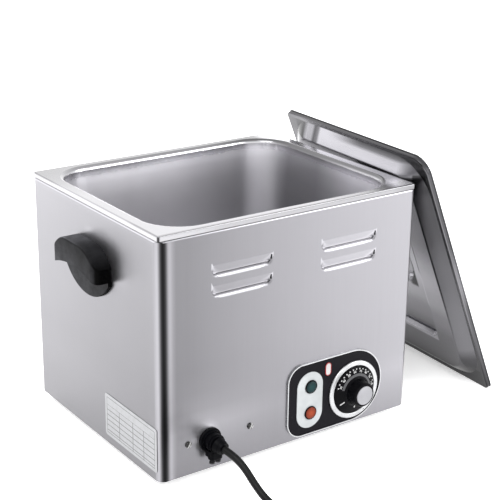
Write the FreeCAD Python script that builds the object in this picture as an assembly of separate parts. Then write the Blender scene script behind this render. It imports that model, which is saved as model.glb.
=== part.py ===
import FreeCAD, Part
import math
import os

V = FreeCAD.Vector
os.makedirs("parts", exist_ok=True)

# ------------------------------------------------------------------ driving dimensions (mm)
# Construction frame: X to the right along the front, Y to the back, Z up, z = 0 at the lower
# edge of the casing. Every solid is moved by SHIFT before it is written, so that the stored
# frame has its origin at the bottom centre of the machine without its cord.
CASE_W = 329.0          # casing width
CASE_D = 267.3          # casing depth
CASE_H = 258.7          # casing height
SHEET = 1.0             # casing sheet
CASE_R = 8.5            # radius of the four upright edges
FOOT_H = 10.0           # rubber foot height
FLOOR = -FOOT_H

PAN_W, PAN_D = 327.0, 265.3     # flange of a half-size food pan
PAN_TOP = 264.5                 # flange top
PAN_T = 0.8
PAN_DEPTH = 150.0
PAN_OPEN_W, PAN_OPEN_D, PAN_OPEN_R = 306.0, 250.0, 47.0
PAN_BEND = 5.0

TANK_W, TANK_D = 309.0, 249.0   # outside of the water tank
TANK_BOTTOM = 92.0
TANK_T = 1.0

LID_A, LID_B = 325.0, 265.0     # lid, up the slope and along Y: same outline as the pan's flange
LID_T = 0.8
LID_FLANGE = 5.0                # flat rim outside the sloped wall
LID_FLANGE_LOW = 8.0            # the same at the edge it stands on
LID_WALL = 17.0                 # width of the sloped wall
LID_RISE = 12.0
LID_SKIRT = 5.0
LID_CORNERS = (6.0, 20.0, 7.0, 12.0)

KNOB_X, KNOB_Z = 84.2, 41.0
PLATE_T = 1.5

HANDLE_Y = 4.0
HANDLE_OUT = 20.5

CORD_D = 8.0
COIL_X, COIL_Y = -133.0, -275.0
COIL_R = 43.0           # middle of the turns

FRONT = -CASE_D / 2
BACK = CASE_D / 2
LEFT = -CASE_W / 2
RIGHT = CASE_W / 2

# lid placement: lower near corner of the flange, up-slope, along and outward directions
LID_O = V(287.9, -145.6, FLOOR - 0.48)
LID_LEAN = math.radians(22.12)
LID_TURN = math.radians(-2.665)

SHIFT = V(-60.267, 12.031, FOOT_H)

nodes = {}


def put(name, shape):
    nodes[name] = shape


# ------------------------------------------------------------------ helpers
def box(x0, x1, y0, y1, z0, z1):
    return Part.makeBox(x1 - x0, y1 - y0, z1 - z0, V(x0, y0, z0))


def cyl(x, y, z, r, h, d=V(0, 0, 1)):
    return Part.makeCylinder(r, h, V(x, y, z), d)


def cone(x, y, z, r1, r2, h, d=V(0, 0, 1)):
    return Part.makeCone(r1, r2, h, V(x, y, z), d)


def rwire(x0, x1, y0, y1, r, z=0.0):
    """Closed wire of a rounded rectangle, four lines and four arcs."""
    if isinstance(r, (int, float)):
        r = (r, r, r, r)          # lower left, lower right, upper right, upper left
    a, b, c, d = r
    k = math.sqrt(0.5)
    e = []

    def line(p, q):
        if (q - p).Length > 1e-6:
            e.append(Part.LineSegment(p, q).toShape())

    def arc(p, m, q):
        e.append(Part.Arc(p, m, q).toShape())

    line(V(x0 + a, y0, z), V(x1 - b, y0, z))
    arc(V(x1 - b, y0, z), V(x1 - b + b * k, y0 + b - b * k, z), V(x1, y0 + b, z))
    line(V(x1, y0 + b, z), V(x1, y1 - c, z))
    arc(V(x1, y1 - c, z), V(x1 - c + c * k, y1 - c + c * k, z), V(x1 - c, y1, z))
    line(V(x1 - c, y1, z), V(x0 + d, y1, z))
    arc(V(x0 + d, y1, z), V(x0 + d - d * k, y1 - d + d * k, z), V(x0, y1 - d, z))
    line(V(x0, y1 - d, z), V(x0, y0 + a, z))
    arc(V(x0, y0 + a, z), V(x0 + a - a * k, y0 + a - a * k, z), V(x0 + a, y0, z))
    return Part.Wire(e)


def rplate(x0, x1, y0, y1, r, z0, z1):
    f = Part.Face(rwire(x0, x1, y0, y1, r, z0))
    return f.extrude(V(0, 0, z1 - z0))


def cplate(w, d, r, z0, z1):
    return rplate(-w / 2, w / 2, -d / 2, d / 2, r, z0, z1)


def loft(wires, ruled=True):
    return Part.makeLoft(wires, True, ruled)


def hexa(x, y, z, af, h, d=V(0, 0, 1), turn=0.0):
    """Hexagon prism, af across flats, along d."""
    r = af / math.sqrt(3)
    p = [V(r * math.cos(math.radians(60 * i + turn)), r * math.sin(math.radians(60 * i + turn)), 0) for i in range(7)]
    s = Part.Face(Part.makePolygon(p)).extrude(V(0, 0, h))
    s.Placement = FreeCAD.Placement(V(x, y, z), FreeCAD.Rotation(V(0, 0, 1), d))
    return s


def tube(points, r, bend, ri=0.0, say=None):
    """Round bar along straight runs joined by tangent arcs. bend is a radius, or a share of the shorter run."""
    pts = [V(*p) for p in points]
    n = len(pts)
    edges, start, length = [], pts[0], 0.0
    radii = []
    for i in range(1, n - 1):
        a, b, c = pts[i - 1], pts[i], pts[i + 1]
        u, w = (a - b), (c - b)
        lu, lw = u.Length, w.Length
        u, w = u.normalize(), w.normalize()
        ang = math.pi - u.getAngle(w)
        half = math.tan(ang / 2)
        want = bend[i - 1] if isinstance(bend, list) else bend
        if want < 1.0:
            cut = want * min(lu, lw)
            rad = cut / half
        else:
            rad = want
            cut = rad * half
        p1, p2 = b + u * cut, b + w * cut
        bis = (u + w).normalize()
        mid = b + bis * (rad / math.cos(ang / 2) - rad)
        if (p1 - start).Length > 1e-4:
            edges.append(Part.LineSegment(start, p1).toShape())
            length += (p1 - start).Length
        edges.append(Part.Arc(p1, mid, p2).toShape())
        length += rad * ang
        radii.append(round(rad, 1))
        start = p2
    edges.append(Part.LineSegment(start, pts[-1]).toShape())
    length += (pts[-1] - start).Length
    path = Part.Wire(edges)
    d = (pts[1] - pts[0]).normalize()

    def sweep(rr):
        prof = Part.Wire([Part.makeCircle(rr, pts[0], d)])
        return path.makePipeShell([prof], True, False)

    s = sweep(r)
    if ri:
        s = s.cut(sweep(ri))
    if say:
        print(say, "radii", radii, "length", round(length, 1), "volume", round(s.Volume, 1), "section x length", round(math.pi * (r * r - ri * ri) * length, 1))
    return s


def front(s):
    """Local x right, y up, z outwards, onto the front face of the casing."""
    s = s.copy()
    s.Placement = FreeCAD.Placement(V(0, FRONT, 0), FreeCAD.Rotation(V(1, 0, 0), 90)).multiply(s.Placement)
    return s


def lidded(s):
    """Lid frame: x up the slope, y along the lid, z outwards from its top face."""
    s = s.copy()
    s.Placement = LID_PLACE.multiply(s.Placement)
    return s


def rotation_from(ux, uy, uz):
    m = FreeCAD.Matrix(ux.x, uy.x, uz.x, 0, ux.y, uy.y, uz.y, 0, ux.z, uy.z, uz.z, 0, 0, 0, 0, 1)
    return FreeCAD.Rotation(FreeCAD.Placement(m).Rotation)


_cl, _sl = math.cos(LID_LEAN), math.sin(LID_LEAN)
_ct, _st = math.cos(LID_TURN), math.sin(LID_TURN)
LID_U = V(-_sl * _ct, -_sl * _st, _cl)
LID_V = V(-_st, _ct, 0)
LID_N = LID_U.cross(LID_V)
LID_PLACE = FreeCAD.Placement(LID_O, rotation_from(LID_U, LID_V, LID_N))


def fillet(s, r, pick):
    e = [x for x in s.Edges if pick(x)]
    if not e:
        print("no edge to round", r)
        return s
    try:
        out = s.makeFillet(r, e)
        if out.isValid() and out.Volume > 0:
            return out
    except Exception as err:
        print("fillet", r, "left out:", err)
    return s


def bb(e):
    return e.BoundBox


def group(shapes):
    return Part.makeCompound(shapes)


def solid_of(s):
    """One clean solid out of a boolean result."""
    s = s.removeSplitter()
    if s.ShapeType == "Compound" and len(s.Solids) == 1:
        return s.Solids[0]
    return s


# ------------------------------------------------------------------ casing
def casing():
    outer = cplate(CASE_W, CASE_D, CASE_R, 0, CASE_H)
    outer = fillet(outer, 1.2, lambda e: bb(e).ZMin > CASE_H - 0.01)
    inner = cplate(CASE_W - 2 * SHEET, CASE_D - 2 * SHEET, CASE_R - SHEET, SHEET, CASE_H - SHEET)
    s = outer.cut(inner)
    s = s.cut(cplate(311, 251, 37, CASE_H - 3, CASE_H + 3))           # seat of the tank
    s = s.cut(cplate(CASE_W - 26, CASE_D - 26, 6, -3, 3))             # open underside
    s = s.cut(box(-145.5, 145.5, BACK - 3, BACK + 3, 12, CASE_H - 9))     # open back
    return s


def dimple(cx, zb, grow=0.0):
    """Inward-pressed louvre: sloped above, rounded sill below. Local front frame, z outwards."""
    R, depth, a0, h0 = 4.6, 2.7, 38.4, 14.0
    secs = []
    steps = [0.0, 0.12, 0.4, 0.9, 1.5, 2.1, depth]
    for d in steps:
        t = min(d, R)
        rise = math.sqrt(max(R * R - (R - t) ** 2, 0.0))
        zl = zb + rise
        zt = zb + h0 - (h0 - R - 1.2) * (d / depth)
        a = a0 - 0.9 * rise
        g = grow
        low = max(8.0 - 0.9 * rise, 0.6) + g
        hi = max(3.0 - 0.4 * d, 0.6) + g
        hgt = zt - zl + 2 * g
        low, hi = min(low, hgt * 0.62), min(hi, hgt * 0.34)
        secs.append(rwire(cx - a - g, cx + a + g, zl - g, zt + g, (low, low, hi, hi), -d - g if d else (0.0 if not g else 0.0)))
    return loft(secs)


def louvres(s):
    for cx in (-65.3, 72.0):
        for zb in (209.0, 187.2):
            shell = front(dimple(cx, zb, 0.9)).cut(box(-300, 300, FRONT - 5, FRONT + 0.2, 0, 300))
            s = s.fuse(shell)
    for cx in (-65.3, 72.0):
        for zb in (209.0, 187.2):
            s = s.cut(front(dimple(cx, zb)))
            # air slot behind the sill, open at its right end
            s = s.cut(box(cx - 31.0, cx + 31.0, FRONT + 2.2, FRONT + 6.0, zb + 4.3, zb + 4.9))
            s = s.cut(box(cx + 34.9, cx + 36.5, FRONT - 1.0, FRONT + 6.0, zb + 7.2, zb + 12.4))
    return s


shell = louvres(casing())

# holes in the casing
shell = shell.cut(cyl(KNOB_X, FRONT - 1, KNOB_Z, 6.0, 4, V(0, 1, 0)))
for z in (59.7, 28.7):
    shell = shell.cut(cyl(24.5, FRONT - 1, z, 6.2, 4, V(0, 1, 0)))
shell = shell.cut(cyl(-104.5, FRONT - 1, 33.5, 8.2, 4, V(0, 1, 0)))

# rear panel, set inside the returns
rear = box(-154.4, 154.4, BACK - 2 * SHEET, BACK - SHEET, 3, CASE_H - 3)
rear = rear.fuse(box(-154.4, 154.4, BACK - 12, BACK - 2 * SHEET, 3, 4))

# base plate: shallow tray standing on the casing's lower returns
base = rplate(-161.5, 161.5, FRONT + 3, BACK - 14, (7, 7, 1, 1), SHEET, 2 * SHEET)
base = base.fuse(box(-161.5, -160.5, FRONT + 12, BACK - 14, SHEET, 13))
base = base.fuse(box(160.5, 161.5, FRONT + 12, BACK - 14, SHEET, 13))

# ------------------------------------------------------------------ water tank and pan
tank = cplate(TANK_W, TANK_D, 36, TANK_BOTTOM, CASE_H + TANK_T)
tank = fillet(tank, 10.0, lambda e: bb(e).ZMax < TANK_BOTTOM + 0.01)
tin = cplate(TANK_W - 2 * TANK_T, TANK_D - 2 * TANK_T, 35, TANK_BOTTOM + TANK_T, CASE_H + 10)
tin = fillet(tin, 9.0, lambda e: bb(e).ZMax < TANK_BOTTOM + TANK_T + 0.01)
tank = tank.fuse(cplate(320.6, 260.9, 6, CASE_H, CASE_H + TANK_T)).cut(tin)

K_TAPER = 11.5     # how far each wall comes in over the pan's depth


def pan_inside(w, d, r, top, bottom, rb, t=0.0):
    k = (top - bottom) / PAN_DEPTH
    lo = rwire(-w / 2 + K_TAPER * k, w / 2 - K_TAPER * k, -d / 2 + K_TAPER * k, d / 2 - K_TAPER * k, r - 4 * k, bottom)
    hi = rwire(-w / 2, w / 2, -d / 2, d / 2, r, top)
    s = loft([lo, hi])
    return fillet(s, rb, lambda e: bb(e).ZMax < bottom + 0.01)


wi, di, ri_ = PAN_OPEN_W - 2 * PAN_BEND, PAN_OPEN_D - 2 * PAN_BEND, PAN_OPEN_R - PAN_BEND
pan_out = pan_inside(wi + 2 * PAN_T, di + 2 * PAN_T, ri_ + PAN_T, PAN_TOP - PAN_T, PAN_TOP - PAN_DEPTH - PAN_T, 22.8)
pan_slab = cplate(PAN_W, PAN_D, 3.0, PAN_TOP - PAN_T, PAN_TOP)
pan = pan_out.fuse(pan_slab)
pan = fillet(pan, PAN_BEND - PAN_T, lambda e: abs(bb(e).ZMin - (PAN_TOP - PAN_T)) < 0.01 and abs(bb(e).ZMax - (PAN_TOP - PAN_T)) < 0.01 and bb(e).XMax < wi / 2 + 2 and bb(e).XMin > -wi / 2 - 2 and bb(e).YMax < di / 2 + 2 and bb(e).YMin > -di / 2 - 2)
pan_hollow = pan_inside(wi, di, ri_, PAN_TOP, PAN_TOP - PAN_DEPTH, 22.0)
pan = pan.cut(pan_hollow)
pan = fillet(pan, PAN_BEND, lambda e: bb(e).ZMin > PAN_TOP - 0.01 and bb(e).XMax < wi / 2 + 1 and bb(e).XMin > -wi / 2 - 1)
skirt = cplate(PAN_W, PAN_D, 3.0, CASE_H + 0.4, PAN_TOP - PAN_T).cut(cplate(PAN_W - 2 * PAN_T, PAN_D - 2 * PAN_T, 2.2, CASE_H - 1, PAN_TOP))
pan = pan.fuse(skirt)
pan = fillet(pan, 1.0, lambda e: bb(e).ZMin > PAN_TOP - 0.01 and (bb(e).XMax > PAN_W / 2 - 4 or bb(e).XMin < -PAN_W / 2 + 4))

# ------------------------------------------------------------------ heating
EZ = 103.6
el_pts = [(-20, -92, 70), (-20, -92, EZ), (-112, -92, EZ), (-112, 88, EZ), (112, 88, EZ), (112, -92, EZ), (20, -92, EZ), (20, -92, 70)]
element = tube(el_pts, 4.0, [8.0, 18.0, 18.0, 18.0, 18.0, 8.0], say="heating_element")
tank = tank.cut(cyl(-20, -92, 80, 6.0, 20)).cut(cyl(20, -92, 80, 6.0, 20))
fit = []
for x in (-20, 20):
    body = cyl(x, -92, 86, 6.0, 9).fuse(hexa(x, -92, TANK_BOTTOM + TANK_T, 17, 2.5)).fuse(hexa(x, -92, TANK_BOTTOM - 6, 17, 6))
    fit.append(body.cut(cyl(x, -92, 60, 4.0, 60)))
fittings = group(fit)
# saddles that hold the element off the tank floor
saddles = []
for x, y in ((-112, 40), (112, 40), (-112, -50), (112, -50)):
    b = box(x - 9, x + 9, y - 6, y + 6, TANK_BOTTOM + TANK_T, TANK_BOTTOM + TANK_T + 1.0)
    b = b.fuse(cyl(x, y - 6, EZ, 5.0, 12, V(0, 1, 0)).cut(box(x - 10, x + 10, y - 10, y + 10, EZ + 0.5, EZ + 10)))
    b = b.fuse(box(x - 1.5, x + 1.5, y - 6, y + 6, TANK_BOTTOM + TANK_T, EZ - 3.8))
    saddles.append(b.cut(cyl(x, y - 7, EZ, 4.0, 14, V(0, 1, 0))))
supports = group(saddles)

# ------------------------------------------------------------------ thermostat
th_y = FRONT + SHEET
thermo = box(KNOB_X - 19, KNOB_X + 19, th_y + 3, th_y + 28, KNOB_Z - 17, KNOB_Z + 17)
thermo = fillet(thermo, 1.5, lambda e: bb(e).YMin > th_y + 27.9)
thermo = thermo.fuse(box(KNOB_X - 21, KNOB_X + 21, th_y, th_y + 3, KNOB_Z - 9, KNOB_Z + 9))
for dx in (-12, -4, 4, 12):
    thermo = thermo.fuse(box(KNOB_X + dx - 3, KNOB_X + dx + 3, th_y + 28, th_y + 37, KNOB_Z - 14.4, KNOB_Z - 13.6))
thermo = thermo.cut(cyl(KNOB_X, th_y - 1, KNOB_Z, 4.3, 22, V(0, 1, 0)))
t_screws = []
for dx in (-14, 14):
    c = cone(KNOB_X + dx, FRONT - PLATE_T, KNOB_Z, 3.6, 2.0, 1.6, V(0, 1, 0)).fuse(cyl(KNOB_X + dx, FRONT - PLATE_T, KNOB_Z, 2.0, 9, V(0, 1, 0)))
    c = c.cut(box(KNOB_X + dx - 0.4, KNOB_X + dx + 0.4, FRONT - PLATE_T - 0.2, FRONT - PLATE_T + 0.7, KNOB_Z - 4, KNOB_Z + 4))
    t_screws.append(c)
thermostat_screws = group(t_screws)
shell = shell.cut(thermostat_screws)
thermo = thermo.cut(thermostat_screws)

# rotating shaft with a flat, its knob and the cap in the knob's nose
KY = FRONT - PLATE_T - 1.0          # back plane of the knob's skirt
spindle = cyl(KNOB_X, KY - 13, KNOB_Z, 3.0, 13 + PLATE_T + 1 + SHEET + 14, V(0, 1, 0))
spindle = spindle.cut(box(KNOB_X - 4, KNOB_X + 4, KY - 14, KY + 1.5, KNOB_Z + 1.6, KNOB_Z + 4))
collar = cyl(KNOB_X, th_y + 14.0, KNOB_Z, 3.9, 2.2, V(0, 1, 0))
spindle = spindle.fuse(collar)

NOSE = 19.5
knob_prof = [(0, 0), (27.6, 0), (27.6, 1.6), (26.2, 2.6), (17.4, 5.2), (15.2, 7.2), (13.6, NOSE - 1.2), (12.6, NOSE), (0, NOSE)]
kp = [V(a, b, 0) for a, b in knob_prof] + [V(0, 0, 0)]
knob = Part.Face(Part.makePolygon(kp)).revolve(V(0, 0, 0), V(0, 1, 0), 360)
# revolved about local y; turn so that the nose points away from the casing
knob.Placement = FreeCAD.Placement(V(KNOB_X, KY, KNOB_Z), FreeCAD.Rotation(V(0, 1, 0), V(0, -1, 0)))
knob = knob.cut(cyl(KNOB_X, KY - NOSE, KNOB_Z, 10.85, 1.2, V(0, 1, 0)))
for i in range(10):                 # shallow finger hollows round the hub
    a = math.radians(36 * i + 18)
    knob = knob.cut(cyl(KNOB_X + 21.3 * math.cos(a), KY - NOSE + 1.6, KNOB_Z + 21.3 * math.sin(a), 7.0, NOSE - 9.4, V(0, 1, 0)))
knob = knob.cut(spindle)
knob = knob.cut(cyl(KNOB_X, KY - 3.0, KNOB_Z, 9.0, 3.2, V(0, 1, 0)).cut(cyl(KNOB_X, KY - 4.0, KNOB_Z, 5.5, 6, V(0, 1, 0))))
cap = cyl(KNOB_X, KY - NOSE - 0.9, KNOB_Z, 10.8, 2.1, V(0, 1, 0))
cap = fillet(cap, 0.8, lambda e: bb(e).YMax < KY - NOSE - 0.8)

# ------------------------------------------------------------------ control plate, lamps
plate_w = rwire(-5.0, 123.0, 3.9, 86.8, (18.5, 41.4, 41.4, 18.5), 0)
plate = front(Part.Face(plate_w).extrude(V(0, 0, PLATE_T)))
rim_o = Part.Face(rwire(-6.2, 124.2, 2.7, 88.0, (19.7, 42.6, 42.6, 19.7), 0)).extrude(V(0, 0, PLATE_T + 0.6))
rim_i = Part.Face(plate_w).extrude(V(0, 0, 10))
trim = front(rim_o.cut(rim_i))
lamp_plate = front(Part.Face(rwire(6.3, 40.7, 11.2, 76.9, 17.1, PLATE_T)).extrude(V(0, 0, 0.8)))
badge = front(Part.Face(rwire(44.5, 51.6, 67.1, 81.5, 3.5, PLATE_T)).extrude(V(0, 0, 0.5)))
bezel = cyl(KNOB_X, FRONT - PLATE_T, KNOB_Z, 34.0, 2.4, V(0, -1, 0)).cut(cyl(KNOB_X, FRONT, KNOB_Z, 28.4, 10, V(0, -1, 0)))
bezel = fillet(bezel, 1.6, lambda e: bb(e).YMax < FRONT - PLATE_T - 2.3 and bb(e).XLength > 60)
bezel = fillet(bezel, 0.7, lambda e: bb(e).YMax < FRONT - PLATE_T - 2.3 and bb(e).XLength < 57.5)
plate = plate.cut(cyl(KNOB_X, FRONT + 1, KNOB_Z, 4.5, 5, V(0, -1, 0)))
plate = plate.cut(thermostat_screws)

lens, bezels, lamp_bodies, lamp_nuts = {}, [], [], []
for key, z in (("power_lamp", 59.7), ("heat_lamp", 28.7)):
    face = FRONT - PLATE_T - 0.8
    dome = cyl(24.5, face, z, 6.8, 1.9, V(0, -1, 0))
    dome = fillet(dome, 1.2, lambda e: bb(e).YMax < face - 1.8)
    dome = dome.fuse(cyl(24.5, face, z, 5.0, 6.0, V(0, 1, 0)))
    lens[key] = dome
    ring = cyl(24.5, face, z, 7.8, 1.3, V(0, -1, 0)).cut(cyl(24.5, face + 1, z, 6.85, 5, V(0, -1, 0)))
    bezels.append(fillet(ring, 0.5, lambda e: bb(e).YMax < face - 1.2 and bb(e).XLength > 15))
    bod = cyl(24.5, face, z, 6.0, 30, V(0, 1, 0)).cut(cyl(24.5, face - 1, z, 5.02, 7.2, V(0, 1, 0)))
    bod = bod.fuse(box(21.9, 22.7, face + 30, face + 38, z - 2, z + 2)).fuse(box(26.3, 27.1, face + 30, face + 38, z - 2, z + 2))
    lamp_bodies.append(bod)
    lamp_nuts.append(cyl(24.5, FRONT + SHEET, z, 9.0, 2.0, V(0, 1, 0)).cut(cyl(24.5, FRONT, z, 6.02, 6, V(0, 1, 0))))
    plate = plate.cut(cyl(24.5, FRONT + 1, z, 6.05, 4, V(0, -1, 0)))
    lamp_plate = lamp_plate.cut(cyl(24.5, FRONT + 1, z, 6.05, 5, V(0, -1, 0)))

# ------------------------------------------------------------------ cord gland on the front
GX, GZ = -104.5, 33.5
gland_flange = cyl(GX, FRONT, GZ, 13.2, 2.6, V(0, -1, 0))
gland_flange = fillet(gland_flange, 1.0, lambda e: bb(e).YMax < FRONT - 2.5)
gland_flange = gland_flange.fuse(cyl(GX, FRONT - 2.6, GZ, 11.0, 2.4, V(0, -1, 0)))
gland_flange = gland_flange.fuse(cyl(GX, FRONT - 5.0, GZ, 8.2, 18.0, V(0, 1, 0)))
gland_flange = gland_flange.cut(cyl(GX, FRONT - 6, GZ, 5.0, 40, V(0, 1, 0)))
gland_body = cyl(GX, FRONT - 5.0, GZ, 9.4, 10.0, V(0, -1, 0))
gland_body = gland_body.fuse(cyl(GX, FRONT - 10.0, GZ, 10.2, 2.2, V(0, -1, 0)))
gland_body = gland_body.cut(cyl(GX, FRONT, GZ, 5.0, 40, V(0, -1, 0)))
clamp = box(GX - 7.4, GX + 7.4, FRONT - 14.6, FRONT - 5.4, 14.5, 24.6)
clamp = fillet(clamp, 3.0, lambda e: bb(e).ZMax < 14.51 or (bb(e).ZLength > 9 and bb(e).XLength < 0.1 and bb(e).YLength < 0.1))
clamp = clamp.fuse(box(GX - 9.6, GX + 9.6, FRONT - 13.6, FRONT - 6.4, 20.5, 27.0))
clamp = clamp.cut(cyl(GX, FRONT - 4, GZ, 9.42, 30, V(0, -1, 0))).cut(cyl(GX, FRONT - 10.0 + 0.02, GZ, 10.22, 2.24, V(0, -1, 0)))
clamp_screws = group([cyl(GX + dx, FRONT - 10.0, 12.6, 1.9, 8.0).fuse(cyl(GX + dx, FRONT - 10.0, 11.4, 3.0, 1.9)) for dx in (-3.6, 3.6)])
clamp = clamp.cut(clamp_screws)

EXIT = V(-102.8, -157.6, 31.8)
C0 = V(GX, FRONT - 15.0, GZ)
cd = (EXIT - C0).normalize()
collar_ = Part.makeCone(8.6, 6.6, (EXIT - C0).Length, C0, cd)
nose = Part.makeCylinder(7.6, 2.4, C0 + cd * 3.2, cd)
collar_ = collar_.fuse(nose).cut(Part.makeCylinder(CORD_D / 2, 60, C0 - cd * 10, cd))
collar_ = collar_.cut(cyl(GX, FRONT, GZ, 12.0, 15.0, V(0, -1, 0)))
locknut = hexa(GX, FRONT + SHEET + 1.2, GZ, 21, 5, V(0, 1, 0)).cut(cyl(GX, FRONT, GZ, 8.2, 12, V(0, 1, 0)))

# stiffening plate behind the gland, held by the two slotted screws
bracket = box(-138, -46, FRONT + SHEET, FRONT + SHEET + 1.2, 18, 50)
bracket = bracket.fuse(box(-138, -46, FRONT + SHEET, FRONT + SHEET + 10, 50, 51.2))
bracket = bracket.cut(cyl(GX, FRONT, GZ, 8.2, 12, V(0, 1, 0)))
fs = []
for x, z in ((-53.8, 34.1), (-130.6, 34.7)):
    h = cyl(x, FRONT, z, 3.6, 1.7, V(0, -1, 0))
    h = fillet(h, 1.0, lambda e: bb(e).YMax < FRONT - 1.6)
    h = h.fuse(cyl(x, FRONT, z, 2.0, 8.0, V(0, 1, 0)))
    sl = box(x - 4.5, x + 4.5, FRONT - 2.0, FRONT - 0.9, z - 0.45, z + 0.45)
    sl.rotate(V(x, 0, z), V(0, 1, 0), -62)
    fs.append(h.cut(sl))
front_screws = group(fs)
shell = shell.cut(front_screws)
bracket = bracket.cut(front_screws)
bracket_nuts = group([hexa(x, FRONT + SHEET + 1.2, z, 7, 3.0, V(0, 1, 0)).cut(cyl(x, FRONT, z, 2.0, 12, V(0, 1, 0))) for x, z in ((-53.8, 34.1), (-130.6, 34.7))])

# ------------------------------------------------------------------ power cord, coil and plug
cord_pts = [
    (EXIT.x, EXIT.y, EXIT.z),
    (-99.8, -171.6, 29.2),
    (-97.2, -186.6, 22.0),
    (-95.2, -201.6, 9.6),
    (-93.2, -217.6, 0.2),
    (-89.6, -235.4, -4.2),
    (-84.6, -254.6, FLOOR + CORD_D / 2),
    (COIL_X + COIL_R + CORD_D, -273.0, FLOOR + CORD_D / 2),
]
cord = tube(cord_pts, CORD_D / 2, 0.45, say="power_cord")
COIL_H = CORD_D * (1 + math.sqrt(3) / 2)
coil = cyl(COIL_X, COIL_Y, FLOOR, COIL_R + 1.5 * CORD_D, COIL_H).cut(cyl(COIL_X, COIL_Y, FLOOR - 1, COIL_R - 1.5 * CORD_D, 40))
coil = fillet(coil, 3.6, lambda e: bb(e).ZMin > FLOOR + COIL_H - 0.01 or bb(e).ZMax < FLOOR + 0.01)

# plug: lies beside the coil, the cable runs into it from the coil's west side
PA = math.radians(205)
PT = V(COIL_X + (COIL_R + CORD_D / 2) * math.cos(PA), COIL_Y + (COIL_R + CORD_D / 2) * math.sin(PA), FLOOR + CORD_D / 2 + CORD_D * math.sqrt(3) / 2)
PD = V(math.sin(PA), -math.cos(PA), 0)
PO = V(math.cos(PA), math.sin(PA), 0)
tail = [PT, PT + PD * 18.0 + V(0, 0, 0.3), PT + PD * 35.6 + PO * 3.6 + V(0, 0, 1.07), PT + PD * 52.0 + PO * 9.6 + V(0, 0, 1.07)]
PX = (tail[3] - tail[2])
PX.z = 0
PX = PX.normalize()
PS = tail[3] - PX * 12.0        # start of the plug's sleeve
PS.z = FLOOR + 12.0


def plug_shape():
    s = Part.makeCone(5.2, 8.4, 26, V(0, 0, 0), V(1, 0, 0))
    body = loft([
        Part.Wire(rot_yz(rwire(-9, 9, -8, 8, 6.0, 0), 24)),
        Part.Wire(rot_yz(rwire(-14, 14, -11, 11, 6.5, 0), 34)),
        Part.Wire(rot_yz(rwire(-18, 18, -12, 12, 6.5, 0), 48)),
        Part.Wire(rot_yz(rwire(-19, 19, -12, 12, 6.0, 0), 62)),
    ])
    s = s.fuse(body)
    return s.cut(Part.makeCylinder(CORD_D / 2 + 0.05, 13, V(-1, 0, 0), V(1, 0, 0)))


def rot_yz(w, x):
    w = w.copy()
    w.Placement = FreeCAD.Placement(V(x, 0, 0), rotation_from(V(0, 1, 0), V(0, 0, 1), V(1, 0, 0)))
    return w.Edges


plug = plug_shape()
pins = group([
    box(57.0, 80.0, -6.0 - 3.2, -6.0 + 3.2, -3.6, -2.0),
    box(57.0, 80.0, 6.0 - 3.2, 6.0 + 3.2, -3.6, -2.0),
    box(57.0, 83.0, -0.8, 0.8, 1.2, 7.6),
])
plug = plug.cut(pins)
plug_place = FreeCAD.Placement(PS, rotation_from(PX, V(-PX.y, PX.x, 0), V(0, 0, 1)))
for s_ in (plug, pins):
    s_.Placement = plug_place.multiply(s_.Placement)
lead = tube([(q.x, q.y, q.z) for q in tail], CORD_D / 2, 0.45, say="cord_tail")

# ------------------------------------------------------------------ carrying handles
def handle():
    """Local x along the wall, y up, z out from the wall."""
    hw = 45.5
    e = [
        Part.Arc(V(-hw, 184, 0), V(0, 162, 0), V(hw, 184, 0)).toShape(),
        Part.LineSegment(V(hw, 184, 0), V(hw, 204, 0)).toShape(),
        Part.Arc(V(hw, 204, 0), V(34.0, 217.4, 0), V(12, 223.8, 0)).toShape(),
        Part.LineSegment(V(12, 223.8, 0), V(-12, 223.8, 0)).toShape(),
        Part.Arc(V(-12, 223.8, 0), V(-34.0, 217.4, 0), V(-hw, 204, 0)).toShape(),
        Part.LineSegment(V(-hw, 204, 0), V(-hw, 184, 0)).toShape(),
    ]
    basep = Part.Face(Part.Wire(e)).extrude(V(0, 0, 4.0))
    basep = fillet(basep, 1.5, lambda x: bb(x).ZMin > 3.99 and bb(x).YMax < 186)
    h = [
        Part.Arc(V(-hw, 189, 0), V(0, 198.5, 0), V(hw, 189, 0)).toShape(),
        Part.LineSegment(V(hw, 189, 0), V(hw, 204, 0)).toShape(),
        Part.Arc(V(hw, 204, 0), V(34.0, 217.4, 0), V(12, 223.8, 0)).toShape(),
        Part.LineSegment(V(12, 223.8, 0), V(-12, 223.8, 0)).toShape(),
        Part.Arc(V(-12, 223.8, 0), V(-34.0, 217.4, 0), V(-hw, 204, 0)).toShape(),
        Part.LineSegment(V(-hw, 204, 0), V(-hw, 189, 0)).toShape(),
    ]
    hood = Part.Face(Part.Wire(h)).extrude(V(0, 0, HANDLE_OUT))
    hood = fillet(hood, 8.0, lambda x: bb(x).ZMin > HANDLE_OUT - 0.01 and bb(x).XLength < 0.01)
    hood = fillet(hood, 2.6, lambda x: bb(x).ZMin > HANDLE_OUT - 0.01 and bb(x).YMin > 200)
    s = basep.fuse(hood)
    hollow = Part.Face(rwire(-32, 32, 170, 218.0, (2, 2, 12, 12), 4.0)).extrude(V(0, 0, HANDLE_OUT - 8.0))
    hollow = hollow.cut(box(-60, 60, 150, 230, -10, 4.0))
    return solid_of(s.cut(hollow))


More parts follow.
